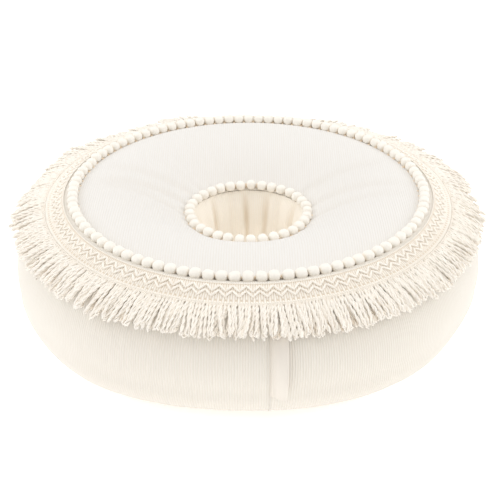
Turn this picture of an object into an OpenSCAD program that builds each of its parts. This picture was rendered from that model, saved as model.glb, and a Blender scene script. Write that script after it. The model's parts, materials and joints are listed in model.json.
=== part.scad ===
// Round floor cushion with a centre hole: a ribbed cotton cover over a lined ring of fibre filling, with
// ball trim on both top seams, a looped fringe on the shoulder, a side label, and a zip in the back band.
// The axis of the cushion is Z, the floor is z = 0 and the front is -Y.

/* [Cushion] */
// Widest diameter of the filled cover
cushion_d = 500; // [410:5:620]
// Height of the top seam above the floor
top_seam_h = 134.5; // [115:0.5:180]
// Diameter of the hole at its top rim
rim_d = 128; // [100:2:170]
// How far the rim seam lies below the top seam
rim_drop = 30; // [20:1:36]
// Width in plan from the top seam out to the widest part of the side
shoulder_w = 63; // [56:1:75]
// How far the top panel's crown lies above the straight line between its seams
crown_lift = 16; // [8:1:20]
// How far the shoulder puffs up outside the ball trim
shoulder_lift = 5; // [2:0.5:7]
// Angle that the shoulder falls under the fringe header
shoulder_slope = 27; // [22:1:32]
// How far the sleeve bulges into the hole
sleeve_bulge = 12; // [4:1:14]
// Width in plan that the side tucks under to the base seam
tuck_under = 46; // [38:1:52]
// Height of the base seams above the floor
base_seam_h = 5; // [4:0.5:8]

/* [Cloth] */
// Thickness of the ribbed cover fabric
cloth_t = 1.6; // [1:0.1:2]
// Thickness of a turned-in seam allowance, both layers pressed
allowance_t = 2.4; // [1.6:0.1:2.6]
// Width of a turned-in seam allowance on each side of its seam
allowance_w = 9; // [6:0.5:12]
// Room left between the liner and the pieces that stand in from the cover
liner_room = 0.6; // [0.4:0.1:2]
// Thickness of the liner cloth
liner_t = 0.8; // [0.5:0.1:1.2]
// Gap between neighbouring pieces of cloth
gap = 0.3; // [0.2:0.05:0.5]

/* [Ball trim] */
// Diameter of a felt ball
ball_d = 10.6; // [8:0.2:13]
// Space between two neighbouring balls
ball_space = 1.7; // [1:0.1:3]
// Diameter of the braid that carries the balls
ball_braid_d = 1.6; // [1:0.1:2.4]

/* [Fringe] */
// Gap down the shoulder between the balls and the fringe header
header_gap = 3.2; // [2.5:0.1:6]
// Width of the woven header
header_w = 22.5; // [18:0.5:28]
// Thickness of the woven header
header_t = 1.2; // [0.8:0.1:1.6]
// Diameter of a zigzag cord
zigzag_d = 1.6; // [1:0.1:2]
// Length of one zigzag along the cord's row
zigzag_pitch = 12.5; // [10:0.5:16]
// Height of a zigzag across the header
zigzag_h = 6.4; // [4:0.2:7]
// Distance between the two zigzag rows
zigzag_row = 6; // [5:0.5:8]
// Diameter of the braided heading cord
heading_d = 2.4; // [1.6:0.1:3]
// Length of a fringe loop
loop_l = 39; // [30:0.5:48]
// Thickness of the layer of loops
loop_t = 2.4; // [1.6:0.1:3]
// Angle at which the loops stand out, below level
loop_droop = 24; // [20:1:30]

/* [Label] */
// Width of the folded label tape
label_w = 16; // [12:1:20]
// Length of the label
label_l = 64; // [40:1:78]
// Thickness of the label, both layers
label_t = 1; // [0.6:0.1:1.4]
// Angle from the front centre round to the seam that holds the label
label_at = 4.7; // [-20:0.1:20]
// Angle that the label stands away from the side
label_flare = 18; // [18:1:40]
// Distance of the label's fold line from the side
label_stand = 1.6; // [1.4:0.1:3]
// Angle that the fold line leans in towards its top
label_lean = 3.5; // [2:0.5:5]
// Gap between the label's top and the fringe
label_drop = 4; // [3:0.5:10]

/* [Zip] */
// Height of the zip above the floor
zip_h = 48; // [44:1:56]
// Gap between the slider and each strip of the back band
slot_room = 0.9; // [0.6:0.1:2]
// Angle that the zip takes up at the back
zip_arc = 120; // [80:1:146]
// Angle from an end of the zip to the join of the back band
zip_end = 4; // [3:0.5:8]
// Thickness of a zip tape
zip_tape_t = 0.6; // [0.4:0.1:0.8]
// How far a zip tape reaches behind its band
zip_tape_w = 9; // [6:0.5:9.5]
// Diameter of each row of the coil
coil_d = 2.2; // [1.6:0.1:2.8]
// Space between the two rows of the coil
coil_space = 1.8; // [1.6:0.1:2]
// Length of the slider along the zip
slider_l = 12; // [9:0.5:16]
// Thickness of the slider's two plates
slider_t = 0.8; // [0.6:0.1:1]
// Length of the pull tab past its bar
tab_l = 26; // [18:1:36]
// Width of the pull tab
tab_w = 6; // [5.4:0.1:8]
// Thickness of the pull tab
tab_t = 1.2; // [0.8:0.1:1.2]
// Diameter of the bar that the pull tab turns on
tab_bar_d = 1.3; // [1:0.1:1.3]

/* [Hidden] */

cream = "#F8F2E8";
warm_cream = "#F3EADC";
ball_white = "#FAF6EE";
thread = "#EFE4D3";
satin = "#FBF8F2";
lining = "#EFEAE0";
metal = "#B9B6AF";
fibre = "#FBFAF6";

$fn = 96;
BALL_FN = 24;
CORD_SIDES = 6;

// Parts of the slider that other pieces are set out from
slider_clear = 0.3;
lip_h = 0.7;
slider_h = coil_space + 2 * (coil_d + slider_clear + lip_h);
zip_slot = slider_h + 2 * slot_room;

// The liner lies clear of the seam allowances and of the slider's inner plate
slider_depth = cloth_t + gap + (zip_tape_t + coil_d) / 2 + slider_clear + slider_t;
liner_depth = max(slider_depth, cloth_t + gap + allowance_t) + liner_room;

// Driving points of the meridian, each [radius, height]
cushion_r = cushion_d / 2;
header_start = ball_d / 2 + header_gap;
rim_point = [rim_d / 2, top_seam_h - rim_drop];
top_seam_point = [cushion_r - shoulder_w, top_seam_h];
crest_point = top_seam_point + [header_start, shoulder_lift];
slope_out = [cos(shoulder_slope), -sin(shoulder_slope)];
slope_up = [sin(shoulder_slope), cos(shoulder_slope)];
shoulder_end = crest_point + (header_w + heading_d + gap) * slope_out;
zip_top_point = [cushion_r, zip_h + zip_slot / 2];
zip_bottom_point = [cushion_r, zip_h - zip_slot / 2];
base_seam_point = [cushion_r - tuck_under, base_seam_h];
sleeve_foot_point = [rim_d / 2 + 2, base_seam_h];

// How far the base's rounded edges reach in from its seams before it lies flat
base_round = 15;

function bezier(p, t) =
    pow(1 - t, 3) * p[0] + 3 * pow(1 - t, 2) * t * p[1] + 3 * (1 - t) * t * t * p[2] + pow(t, 3) * p[3];

// The points of a curve without its last one, which starts the next curve
function curve(p, steps) = [for (i = [0 : steps - 1]) bezier(p, i / steps)];

top_span = top_seam_point - rim_point;
top_curve = [
    rim_point,
    rim_point + [0.33 * top_span.x, 0.33 * top_span.y + 1.4 * crown_lift],
    rim_point + [0.70 * top_span.x, 0.70 * top_span.y + 1.7 * crown_lift],
    top_seam_point
];
crest_curve = [
    top_seam_point,
    top_seam_point + [0.3 * header_start, 0.55 * shoulder_lift],
    crest_point - 0.35 * header_start * slope_out,
    crest_point
];
side_w = cushion_r - shoulder_end.x;
side_fall = shoulder_end.y - zip_top_point.y;
upper_side_curve = [
    shoulder_end,
    shoulder_end + [0.42 * side_w, -0.42 * side_w * tan(shoulder_slope + 4)],
    zip_top_point + [0, 0.52 * side_fall],
    zip_top_point
];
lower_fall = zip_bottom_point.y - base_seam_point.y;
lower_side_curve = [
    zip_bottom_point,
    zip_bottom_point - [0, 0.6 * lower_fall],
    base_seam_point + [0.42 * tuck_under, 0.26 * lower_fall],
    base_seam_point
];
base_outer_curve = [
    base_seam_point,
    base_seam_point - [0.4 * base_round, 0.6 * base_seam_h],
    [base_seam_point.x - 0.6 * base_round, 0],
    [base_seam_point.x - base_round, 0]
];
base_inner_curve = [
    [sleeve_foot_point.x + base_round, 0],
    [sleeve_foot_point.x + 0.6 * base_round, 0],
    sleeve_foot_point + [0.4 * base_round, -0.6 * base_seam_h],
    sleeve_foot_point
];
sleeve_rise = rim_point.y - sleeve_foot_point.y;
sleeve_curve = [
    sleeve_foot_point,
    sleeve_foot_point + [-1.35 * sleeve_bulge, 0.24 * sleeve_rise],
    rim_point + [-1.35 * sleeve_bulge, -0.24 * sleeve_rise],
    rim_point
];

// The closed meridian, clockwise, so the inside lies to the right of the way it runs
TOP_STEPS = 12;
SIDE_STEPS = 9;
ROUND_STEPS = 3;
SLEEVE_STEPS = 12;
outline = concat(
    curve(top_curve, TOP_STEPS),
    curve(crest_curve, ROUND_STEPS),
    [crest_point],
    curve(upper_side_curve, SIDE_STEPS),
    [zip_top_point],
    curve(lower_side_curve, SIDE_STEPS),
    curve(base_outer_curve, ROUND_STEPS),
    [base_outer_curve[3]],
    curve(base_inner_curve, ROUND_STEPS),
    curve(sleeve_curve, SLEEVE_STEPS)
);
RIM = 0;
TOP_SEAM = TOP_STEPS;
ZIP_TOP = TOP_SEAM + ROUND_STEPS + 1 + SIDE_STEPS;
ZIP_BOTTOM = ZIP_TOP + 1;
BASE_SEAM = ZIP_BOTTOM + SIDE_STEPS;
SLEEVE_FOOT = BASE_SEAM + 2 * ROUND_STEPS + 1;
COUNT = len(outline);

function point(i) = outline[(i + COUNT) % COUNT];
function along(i) = (point(i + 1) - point(i)) / norm(point(i + 1) - point(i));
function inward(i) = [along(i).y, -along(i).x];

// The point of vertex i moved inward by depth, mitred between its two edges
function sunk(i, depth) =
    let (a = inward(i - 1), b = inward(i))
    point(i) + depth * (a + b) / (1 + a * b);

// The point at a distance along the meridian from vertex i, measured on the edge after it or before it
function sunk_after(i, depth, distance) = sunk(i, depth) + distance * along(i);
function sunk_before(i, depth, distance) = sunk(i, depth) - distance * along(i - 1);

// A layer of cloth between two depths from vertex i to vertex j, short of each seam by half a gap
function layer(i, j, outer, inner) = concat(
    [sunk_after(i, outer, gap / 2)],
    [for (k = [i + 1 : 1 : j - 1]) sunk(k, outer)],
    [sunk_before(j, outer, gap / 2), sunk_before(j, inner, gap / 2)],
    [for (k = [j - 1 : -1 : i + 1]) sunk(k, inner)],
    [sunk_after(i, inner, gap / 2)]
);

// Full turn or part turn of a meridian shape
module turned(points) {
    rotate_extrude()
        polygon(points);
}

module turned_part(points, from, sweep) {
    rotate([0, 0, from])
        rotate_extrude(angle = sweep)
            polygon(points);
}

// Angles round the cushion, from +X towards +Y
front_join = -90 + label_at;
back_from = 90 - zip_arc / 2 - zip_end;
back_to = 90 + zip_arc / 2 + zip_end;
gap_angle = gap / cushion_r * 180 / PI;
zip_from = 90 - zip_arc / 2;

// Cover -------------------------------------------------------------------------------------------------

module top_panel() {
    color(cream)
        turned(layer(RIM, TOP_SEAM, 0, cloth_t));
}

module band_left() {
    color(cream)
        turned_part(
            layer(TOP_SEAM, BASE_SEAM, 0, cloth_t),
            back_to + gap_angle,
            front_join + 360 - back_to - 1.5 * gap_angle
        );
}

module band_right() {
    color(cream)
        turned_part(
            layer(TOP_SEAM, BASE_SEAM, 0, cloth_t),
            front_join + gap_angle / 2,
            back_from - front_join - 1.5 * gap_angle
        );
}

module band_back_upper() {
    color(cream)
        turned_part(layer(TOP_SEAM, ZIP_TOP, 0, cloth_t), back_from, back_to - back_from);
}

module band_back_lower() {
    color(cream)
        turned_part(layer(ZIP_BOTTOM, BASE_SEAM, 0, cloth_t), back_from, back_to - back_from);
}

module base_panel() {
    color(warm_cream)
        turned(layer(BASE_SEAM, SLEEVE_FOOT, 0, cloth_t));
}

module hole_sleeve() {
    color(warm_cream)
        turned(layer(SLEEVE_FOOT, COUNT, 0, cloth_t));
}

// Ball trim ---------------------------------------------------------------------------------------------

ball_pitch = ball_d + ball_space;
ball_lift = ball_braid_d + 2 * gap + ball_d / 2;

// Which way is up off the cloth at a seam: the line that halves the seam's angle
function seam_up(i) =
    let (n = inward(i - 1) + inward(i))
    -n / norm(n);

module ball_braid(i) {
    color(thread)
        rotate_extrude()
            translate(point(i) + (gap + ball_braid_d / 2) * seam_up(i))
                circle(d = ball_braid_d, $fn = 24);
}

module ball_row(i) {
    centre = point(i) + [0, ball_lift];
    count = round(2 * PI * centre.x / ball_pitch);
    color(ball_white)
        for (k = [0 : count - 1])
            rotate([0, 0, 360 * k / count])
                translate([centre.x, 0, centre.y])
                    sphere(d = ball_d, $fn = BALL_FN);
}

module outer_pompom_braid() {
    ball_braid(TOP_SEAM);
}

module outer_pompoms() {
    ball_row(TOP_SEAM);
}

module inner_pompom_braid() {
    ball_braid(RIM);
}

module inner_pompoms() {
    ball_row(RIM);
}

// Fringe ------------------------------------------------------------------------------------------------

// The point a distance down the shoulder from its crest and a height off its cloth
function on_shoulder(distance, height) = crest_point + distance * slope_out + height * slope_up;

module fringe_header() {
    color(thread)
        turned([
            on_shoulder(0, gap),
            on_shoulder(0, gap + header_t),
            on_shoulder(header_w, gap + header_t),
            on_shoulder(header_w, gap)
        ]);
}

// Both zigzag rows have the same count, so they nest without crossing
first_zigzag = zigzag_d / 2 + zigzag_h / 2 + 2;
zigzag_count = round(2 * PI * on_shoulder(first_zigzag, 0).x / zigzag_pitch);

// A closed cord in zigzags round the header, swept as rings of corners
module zigzag_cord(distance) {
    rings = 2 * zigzag_count;
    height = 2 * gap + header_t + zigzag_d / 2;
    radius = zigzag_d / 2;
    function ring_point(k, s) =
        let (
            turn = 360 * k / rings,
            side = k % 2 == 0 ? -zigzag_h / 2 : zigzag_h / 2,
            corner = 360 * s / CORD_SIDES,
            p = on_shoulder(distance + side + radius * cos(corner), height + radius * sin(corner))
        )
        [p.x * cos(turn), p.x * sin(turn), p.y];
    color(thread)
        polyhedron(
            points = [for (k = [0 : rings - 1]) for (s = [0 : CORD_SIDES - 1]) ring_point(k, s)],
            faces = [
                for (k = [0 : rings - 1])
                    for (s = [0 : CORD_SIDES - 1])
                        let (
                            k2 = (k + 1) % rings,
                            s2 = (s + 1) % CORD_SIDES,
                            a = CORD_SIDES * k + s,
                            b = CORD_SIDES * k + s2,
                            c = CORD_SIDES * k2 + s2,
                            d = CORD_SIDES * k2 + s
                        )
                        each [[a, c, b], [a, d, c]]
            ]
        );
}

module fringe_zigzag_upper() {
    zigzag_cord(first_zigzag);
}

module fringe_zigzag_lower() {
    zigzag_cord(first_zigzag + zigzag_row);
}

heading_centre = on_shoulder(header_w + gap + heading_d / 2, gap + heading_d / 2);

module fringe_heading_cord() {
    color(thread)
        rotate_extrude()
            translate(heading_centre)
                circle(d = heading_d, $fn = 24);
}

loop_out = [cos(loop_droop), -sin(loop_droop)];
loop_up = [sin(loop_droop), cos(loop_droop)];
loop_root = heading_centre + (heading_d / 2 + gap) * loop_out;
loop_tip = loop_root + loop_l * loop_out;

module fringe_loops() {
    color(thread)
        turned([
            loop_root - loop_t / 2 * loop_up,
            loop_root + loop_t / 2 * loop_up,
            loop_tip + loop_t / 2 * loop_up,
            loop_tip - loop_t / 2 * loop_up
        ]);
}

// Label -------------------------------------------------------------------------------------------------

// The fold line leans in about its point at the height of the zip, and ends under the fringe
fold_r = cushion_r + label_stand;
fold_lean_r = fold_r - loop_root.x;
fringe_under_label = loop_root.y - fold_lean_r * tan(loop_droop) - loop_t / 2 / cos(loop_droop);
label_top = fringe_under_label - label_drop;

module side_label() {
    color(satin)
        rotate([0, 0, front_join])
            translate([fold_r, 0, zip_h])
                rotate([0, -label_lean, 0])
                    rotate([0, 0, 90 - label_flare])
                        translate([0, -label_t / 2, label_top - label_l - zip_h])
                            cube([label_w, label_t, label_l]);
}

// Zip ---------------------------------------------------------------------------------------------------

// The tapes lie behind the back band and the coil rows stand on their edges
tape_depth = cloth_t + gap;
coil_r = cushion_r - tape_depth - zip_tape_t / 2;
coil_z = (coil_space + coil_d) / 2;
tape_edge_z = coil_space / 2 + coil_d + gap / 2;

module zip_tape(up, i) {
    step = up > 0 ? -1 : 1;
    run = norm(point(i + step) - point(i));
    reach = i + step;
    back = zip_tape_w - run;
    function far(depth) =
        let (a = sunk(reach, depth), b = sunk(reach + step, depth))
        a + max(0.5, back) * (b - a) / norm(b - a);
    color(satin)
        turned_part(
            [
                [cushion_r - tape_depth, zip_h + up * tape_edge_z],
                sunk(i, tape_depth),
                sunk(reach, tape_depth),
                far(tape_depth),
                far(tape_depth + zip_tape_t),
                sunk(reach, tape_depth + zip_tape_t),
                sunk(i, tape_depth + zip_tape_t),
                [cushion_r - tape_depth - zip_tape_t, zip_h + up * tape_edge_z]
            ],
            zip_from,
            zip_arc
        );
}

module zip_coil(up) {
    color(satin)
        rotate([0, 0, zip_from])
            rotate_extrude(angle = zip_arc)
                translate([coil_r, zip_h + up * coil_z])
                    circle(d = coil_d, $fn = 24);
}

module zip_tape_upper() {
    zip_tape(1, ZIP_TOP);
}

module zip_tape_lower() {
    zip_tape(-1, ZIP_BOTTOM);
}

module zip_coil_upper() {
    zip_coil(1);
}

module zip_coil_lower() {
    zip_coil(-1);
}

function arc_angle(length) = length / cushion_r * 180 / PI;
stop_l = 2;
stop_t = 0.7;
stop_clear = 0.15;

// Each end has a metal clip that bridges the two coil rows in front of them
module zip_stops() {
    inner_r = coil_r + coil_d / 2 + stop_clear;
    half = coil_space / 2 + coil_d;
    color(metal)
        for (start = [zip_from + arc_angle(1), zip_from + zip_arc - arc_angle(1 + stop_l)])
            turned_part(
                [
                    [inner_r, zip_h - half],
                    [inner_r + stop_t, zip_h - half],
                    [inner_r + stop_t, zip_h + half],
                    [inner_r, zip_h + half]
                ],
                start,
                arc_angle(stop_l)
            );
}

// Slider: two plates round the coil, lips that leave a slot for each tape, a post and a crown
slider_at = zip_from + arc_angle(1 + stop_l + 1 + slider_l / 2);
outer_plate_r = coil_r + coil_d / 2 + slider_clear;
inner_plate_r = coil_r - coil_d / 2 - slider_clear;
lip_clear = 0.35;
post_t = 1.1;
crown_l = 7;
crown_w = 2.4;
crown_t = 0.8;
crown_window_l = 5;
bar_clear = 0.5;
crown_window_h = tab_bar_d + 2 * bar_clear;
plate_face_r = outer_plate_r + slider_t;
bar_r = plate_face_r + bar_clear + tab_bar_d / 2;

module slider_ring(r_from, r_to, z_from, z_to, l) {
    sweep = arc_angle(l);
    turned_part(
        [
            [r_from, zip_h + z_from],
            [r_to, zip_h + z_from],
            [r_to, zip_h + z_to],
            [r_from, zip_h + z_to]
        ],
        slider_at - sweep / 2,
        sweep
    );
}

module zip_slider() {
    half = slider_h / 2;
    tape_face = cushion_r - tape_depth;
    color(metal) {
        slider_ring(outer_plate_r, plate_face_r, -half, half, slider_l);
        slider_ring(inner_plate_r - slider_t, inner_plate_r, -half, half, slider_l);
        slider_ring(inner_plate_r - slider_t, plate_face_r, -post_t / 2, post_t / 2, slider_l / 3);
        for (z = [-half, half - lip_h]) {
            slider_ring(tape_face + lip_clear, plate_face_r, z, z + lip_h, slider_l);
            slider_ring(
                inner_plate_r - slider_t,
                tape_face - zip_tape_t - lip_clear,
                z,
                z + lip_h,
                slider_l
            );
        }
        rotate([0, 0, slider_at])
            translate([plate_face_r - gap, 0, zip_h - crown_w / 2])
                linear_extrude(height = crown_w)
                    difference() {
                        translate([0, -crown_l / 2])
                            square([gap + crown_window_h + crown_t, crown_l]);
                        translate([gap, -crown_window_l / 2])
                            square([crown_window_h, crown_window_l]);
                    }
    }
}

// Pull tab: a bar under the crown, two arms past it and a plate, pointing to the closed end of the zip
tab_window_w = crown_w + 2 * 0.4;
tab_window_l = crown_l / 2 + 0.9;

module zip_pull_tab() {
    color(metal)
        rotate([0, 0, slider_at])
            translate([bar_r, 0, zip_h]) {
                translate([0, 0, -tab_w / 2])
                    cylinder(d = tab_bar_d, h = tab_w, $fn = 24);
                rotate([0, 0, -90])
                    rotate([90, 0, 0])
                        translate([0, 0, -tab_t / 2])
                            linear_extrude(height = tab_t)
                                difference() {
                                    union() {
                                        translate([0, -tab_w / 2])
                                            square([tab_l - tab_w / 2, tab_w]);
                                        translate([tab_l - tab_w / 2, 0])
                                            circle(d = tab_w, $fn = 32);
                                    }
                                    translate([0, -tab_window_w / 2])
                                        square([tab_window_l, tab_window_w]);
                                }
            }
}

// Seam allowances turned to the inside ------------------------------------------------------------------

allowance_depth = cloth_t + gap;

// Walking a distance along the meridian from vertex i, one way (step 1) or the other (step -1): the whole
// edges passed, and what is left on the edge after them
function edge_length(i, step) = norm(point(i + step) - point(i));
function passed(i, step, distance) =
    distance <= edge_length(i, step) ? 0 : 1 + passed(i + step, step, distance - edge_length(i, step));
function left_over(i, step, distance) =
    distance <= edge_length(i, step) ? distance : left_over(i + step, step, distance - edge_length(i, step));

// The points at one depth that follow the meridian for the allowance's width on each side of a seam
function seam_strip(i, depth) =
    let (
        first = i - passed(i, -1, allowance_w),
        last = i + passed(i, 1, allowance_w)
    )
    concat(
        [sunk_before(first, depth, left_over(i, -1, allowance_w))],
        [for (k = [first : last]) sunk(k, depth)],
        [sunk_after(last, depth, left_over(i, 1, allowance_w))]
    );
function backwards(list) = [for (k = [len(list) - 1 : -1 : 0]) list[k]];

// The allowance of a round seam: a band on each side of vertex i, inside the cover
module round_allowance(i) {
    color(warm_cream)
        turned(concat(
            seam_strip(i, allowance_depth),
            backwards(seam_strip(i, allowance_depth + allowance_t))
        ));
}

// The allowance of an upright join, from below the top seam's allowance to above the base seam's
module join_allowance(at) {
    sweep = arc_angle(2 * allowance_w);
    first = TOP_SEAM + ROUND_STEPS + 2;
    last = BASE_SEAM - 3;
    color(warm_cream)
        turned_part(
            layer(first, last, allowance_depth, allowance_depth + allowance_t),
            at - sweep / 2,
            sweep
        );
}

module top_seam_allowance() {
    round_allowance(TOP_SEAM);
}

module rim_seam_allowance() {
    round_allowance(RIM);
}

module base_seam_allowance() {
    round_allowance(BASE_SEAM);
}

module sleeve_seam_allowance() {
    round_allowance(SLEEVE_FOOT);
}

module front_join_allowance() {
    join_allowance(front_join);
}

module back_join_allowances() {
    turn_in = arc_angle(allowance_w) + gap_angle;
    join_allowance(back_from - turn_in);
    join_allowance(back_to + turn_in);
}

// Inside ------------------------------------------------------------------------------------------------

module liner_top() {
    color(lining)
        turned(layer(RIM, TOP_SEAM, liner_depth, liner_depth + liner_t));
}

module liner_wall() {
    color(lining)
        turned(layer(TOP_SEAM, BASE_SEAM, liner_depth, liner_depth + liner_t));
}

module liner_base() {
    color(lining)
        turned(layer(BASE_SEAM, SLEEVE_FOOT, liner_depth, liner_depth + liner_t));
}

module liner_sleeve() {
    color(lining)
        turned(layer(SLEEVE_FOOT, COUNT, liner_depth, liner_depth + liner_t));
}

module fibre_filling() {
    color(fibre)
        turned([for (i = [0 : COUNT - 1]) sunk(i, liner_depth + liner_t + gap)]);
}

top_panel();
band_left();
band_right();
band_back_upper();
band_back_lower();
base_panel();
hole_sleeve();
outer_pompom_braid();
outer_pompoms();
inner_pompom_braid();
inner_pompoms();
fringe_header();
fringe_zigzag_upper();
fringe_zigzag_lower();
fringe_heading_cord();
fringe_loops();
side_label();
zip_tape_upper();
zip_tape_lower();
zip_coil_upper();
zip_coil_lower();
zip_stops();
zip_slider();
zip_pull_tab();
top_seam_allowance();
rim_seam_allowance();
base_seam_allowance();
sleeve_seam_allowance();
front_join_allowance();
back_join_allowances();
liner_top();
liner_wall();
liner_base();
liner_sleeve();
fibre_filling();
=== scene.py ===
"""Round floor cushion with a centre hole, laid out as an add-on and run as a script.

The cover is one closed form of revolution. A cloth simulation with pressure makes it uneven, and it is then
cut at its seams into panels. The trims, label and zip are placed on it by the sizes of the packed frame.
Lengths are in metres. The cushion's axis is Z and its front faces -Y.
"""

import json
import math

import bpy
import numpy as np
from mathutils import Matrix, Vector


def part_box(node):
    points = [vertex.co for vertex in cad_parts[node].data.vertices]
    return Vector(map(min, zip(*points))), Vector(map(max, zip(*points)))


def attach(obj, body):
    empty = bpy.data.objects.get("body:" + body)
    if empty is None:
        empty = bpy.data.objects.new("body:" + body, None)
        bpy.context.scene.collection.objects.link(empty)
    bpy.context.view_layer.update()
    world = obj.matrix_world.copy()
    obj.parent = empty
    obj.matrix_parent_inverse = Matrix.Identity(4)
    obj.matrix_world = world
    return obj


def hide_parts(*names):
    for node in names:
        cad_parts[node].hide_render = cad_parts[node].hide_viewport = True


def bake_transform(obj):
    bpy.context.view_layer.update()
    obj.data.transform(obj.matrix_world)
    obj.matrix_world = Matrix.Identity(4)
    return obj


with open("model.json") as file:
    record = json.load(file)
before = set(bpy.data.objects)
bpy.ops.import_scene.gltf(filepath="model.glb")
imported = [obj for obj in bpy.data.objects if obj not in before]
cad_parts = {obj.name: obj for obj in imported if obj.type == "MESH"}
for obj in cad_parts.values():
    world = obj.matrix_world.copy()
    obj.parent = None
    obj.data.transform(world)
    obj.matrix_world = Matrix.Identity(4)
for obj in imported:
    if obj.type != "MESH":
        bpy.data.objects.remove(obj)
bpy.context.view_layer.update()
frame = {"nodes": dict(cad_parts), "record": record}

bl_info = {
    "name": "Fringed Floor Cushion",
    "version": (1, 0, 0),
    "blender": (4, 5, 0),
    "location": "3D View > Sidebar > Cushion",
    "description": "Builds a round floor cushion with ball trim, a looped fringe, a side label and a zip",
    "category": "Object",
}

MM = 0.001
TURN = 2 * math.pi
UP = np.array([0.0, 0.0, 1.0])


# Sizes that come from the frame ------------------------------------------------------------------------


def low(node):
    """The lowest corner of a CAD node."""
    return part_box(node)[0]


def high(node):
    """The highest corner of a CAD node."""
    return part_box(node)[1]


def joint(name):
    """The packed record's entry for a joint."""
    return next(j for j in frame["record"]["behaviour"]["joints"] if j["name"] == name)


SIDE_R = -low("band_left").x
BALL_D = high("outer_pompoms").z - low("outer_pompoms").z
OUTER_BALL = np.array([high("outer_pompoms").x - BALL_D / 2, high("outer_pompoms").z - BALL_D / 2])
INNER_BALL = np.array([high("inner_pompoms").x - BALL_D / 2, high("inner_pompoms").z - BALL_D / 2])
BASE_SEAM = np.array([high("base_panel").x, low("hole_sleeve").z])
ZIP_Z = (low("zip_slider").z + high("zip_slider").z) / 2
ZIP_TOP_Z = low("band_back_upper").z
ZIP_BOTTOM_Z = high("band_back_lower").z
LABEL_TOP = high("side_label").z
LABEL_BOTTOM = low("side_label").z
FOLD = joint("label_flap")
FRONT_JOIN = math.atan2(FOLD["pos_m"][1], FOLD["pos_m"][0])
COIL_R = SIDE_R - 2.2 * MM
TAPE_R = SIDE_R - 2.0 * MM
TAPE_T = 0.6 * MM
ALLOWANCE_T = 1.6 * MM
PLY_GAP = 0.5 * MM
LINING_DEPTH = 5 * MM
LINING_T = 0.8 * MM
FILLING_DEPTH = 6.2 * MM
SLEEVE_ROOM = 7.5 * MM
MERGE = 0.01 * MM


# Settings ----------------------------------------------------------------------------------------------


def length(name, text, millimetres):
    """A length property whose default is given in millimetres."""
    return bpy.props.FloatProperty(
        name=name, description=text, default=millimetres * MM, unit="LENGTH", precision=5
    )


def colour(name, text, value):
    """A colour property."""
    return bpy.props.FloatVectorProperty(
        name=name, description=text, default=value, subtype="COLOR", size=3, min=0, max=1
    )


def count(name, text, value):
    """A whole number property."""
    return bpy.props.IntProperty(name=name, description=text, default=value, min=1)


def share(name, text, value):
    """A plain number property."""
    return bpy.props.FloatProperty(name=name, description=text, default=value)


class CoverSettings(bpy.types.PropertyGroup):
    """Sizes and colours of the cover, its lining and its filling."""

    crown_rise: length("Crown rise", "Rise of the top panel's crown above its seams", 17)
    seam_sink: length("Seam sink", "Depth of the groove at a sewn seam", 1.5)
    cloth: length("Cloth", "Thickness of the ribbed cloth", 1.6)
    rib_pitch: length("Rib pitch", "Distance between two ribs of the cloth", 2.5)
    sim_cap: length("Simulation cap", "Furthest that the simulation may move a point", 7)
    front_flat: length("Front flattening", "How far the foot of the front is drawn in", 8)
    pucker: length("Pucker", "Depth of the tucks above the base seam", 2.0)
    rim_fold: length("Rim fold", "Depth of the soft folds round the hole", 1.3)
    sleeve_fold: length("Sleeve fold", "Depth of the upright folds in the hole", 5.0)
    # The valley colour is darker than the ridge colour as painted shade between the ribs.
    ridge: colour("Ridge colour", "Colour of the cloth on its ribs", (0.955, 0.93, 0.885))
    valley: colour("Valley colour", "Colour of the cloth between its ribs", (0.885, 0.835, 0.76))
    lining: colour("Lining colour", "Colour of the plain cotton lining", (0.88, 0.85, 0.79))
    fibre: colour("Fibre colour", "Colour of the fibre filling", (0.93, 0.92, 0.89))


class TrimSettings(bpy.types.PropertyGroup):
    """Sizes and colours of the ball trim."""

    ball_wide: length("Ball width", "Width of a ball along the seam", 11.4)
    small_wide: length("Small ball width", "Width of a ball round the hole", 10.5)
    ball_tall: length("Ball height", "Height of a ball off the cloth", 10.2)
    ball_pitch: length("Ball pitch", "Distance between two balls along the seam", 12.3)
    ply: length("Braid ply", "Diameter of one ply of the braid under the balls", 1.1)
    felt: colour("Felt colour", "Colour of the felt balls", (0.965, 0.925, 0.855))
    thread: colour("Thread colour", "Colour of the trim's thread", (0.98, 0.945, 0.88))


class FringeSettings(bpy.types.PropertyGroup):
    """Sizes and colours of the fringe."""

    header_w: length("Header width", "Width of the woven header", 22.5)
    slope: share("Header slope", "Fall of the header, in degrees", 27.0)
    strands: count("Strands", "How many twisted cords hang from the header", 430)
    strand_l: length("Strand length", "Length of a twisted cord", 37.5)
    ply: length("Ply", "Diameter of one ply of a twisted cord", 2.3)
    twist: length("Twist", "Length of one full twist of a cord", 15)
    zigzags: count("Zigzags", "How many zigzags run round the header", 104)
    zigzag_h: length("Zigzag height", "Height of a zigzag across the header", 6.4)
    zigzag_d: length("Zigzag cord", "Diameter of a zigzag cord", 2.4)
    cord: colour("Cord colour", "Colour of the fringe cords", (0.99, 0.95, 0.885))
    shade: colour("Cord shade", "Colour deep between the plies", (0.94, 0.872, 0.778))


class LabelSettings(bpy.types.PropertyGroup):
    """Sizes and colours of the side label."""

    width: length("Width", "Width of the folded tape", 17)
    tape: length("Tape", "Thickness of one layer of the tape", 0.35)
    flare: share("Flare", "Angle that the label stands off the side, in degrees", 24.0)
    satin: colour("Satin", "Colour of the label", (0.84, 0.785, 0.71))


class ZipSettings(bpy.types.PropertyGroup):
    """Sizes and colours of the zip."""

    tooth: length("Tooth pitch", "Distance between two turns of the coil", 1.6)
    wire: length("Wire", "Diameter of the coil's monofilament", 0.62)
    stitch: length("Stitch", "Length of a stitch beside the zip", 3.0)
    coil: colour("Coil", "Colour of the coil", (0.90, 0.87, 0.80))
    metal: colour("Metal", "Colour of the slider, tab and stops", (0.66, 0.63, 0.58))


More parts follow.
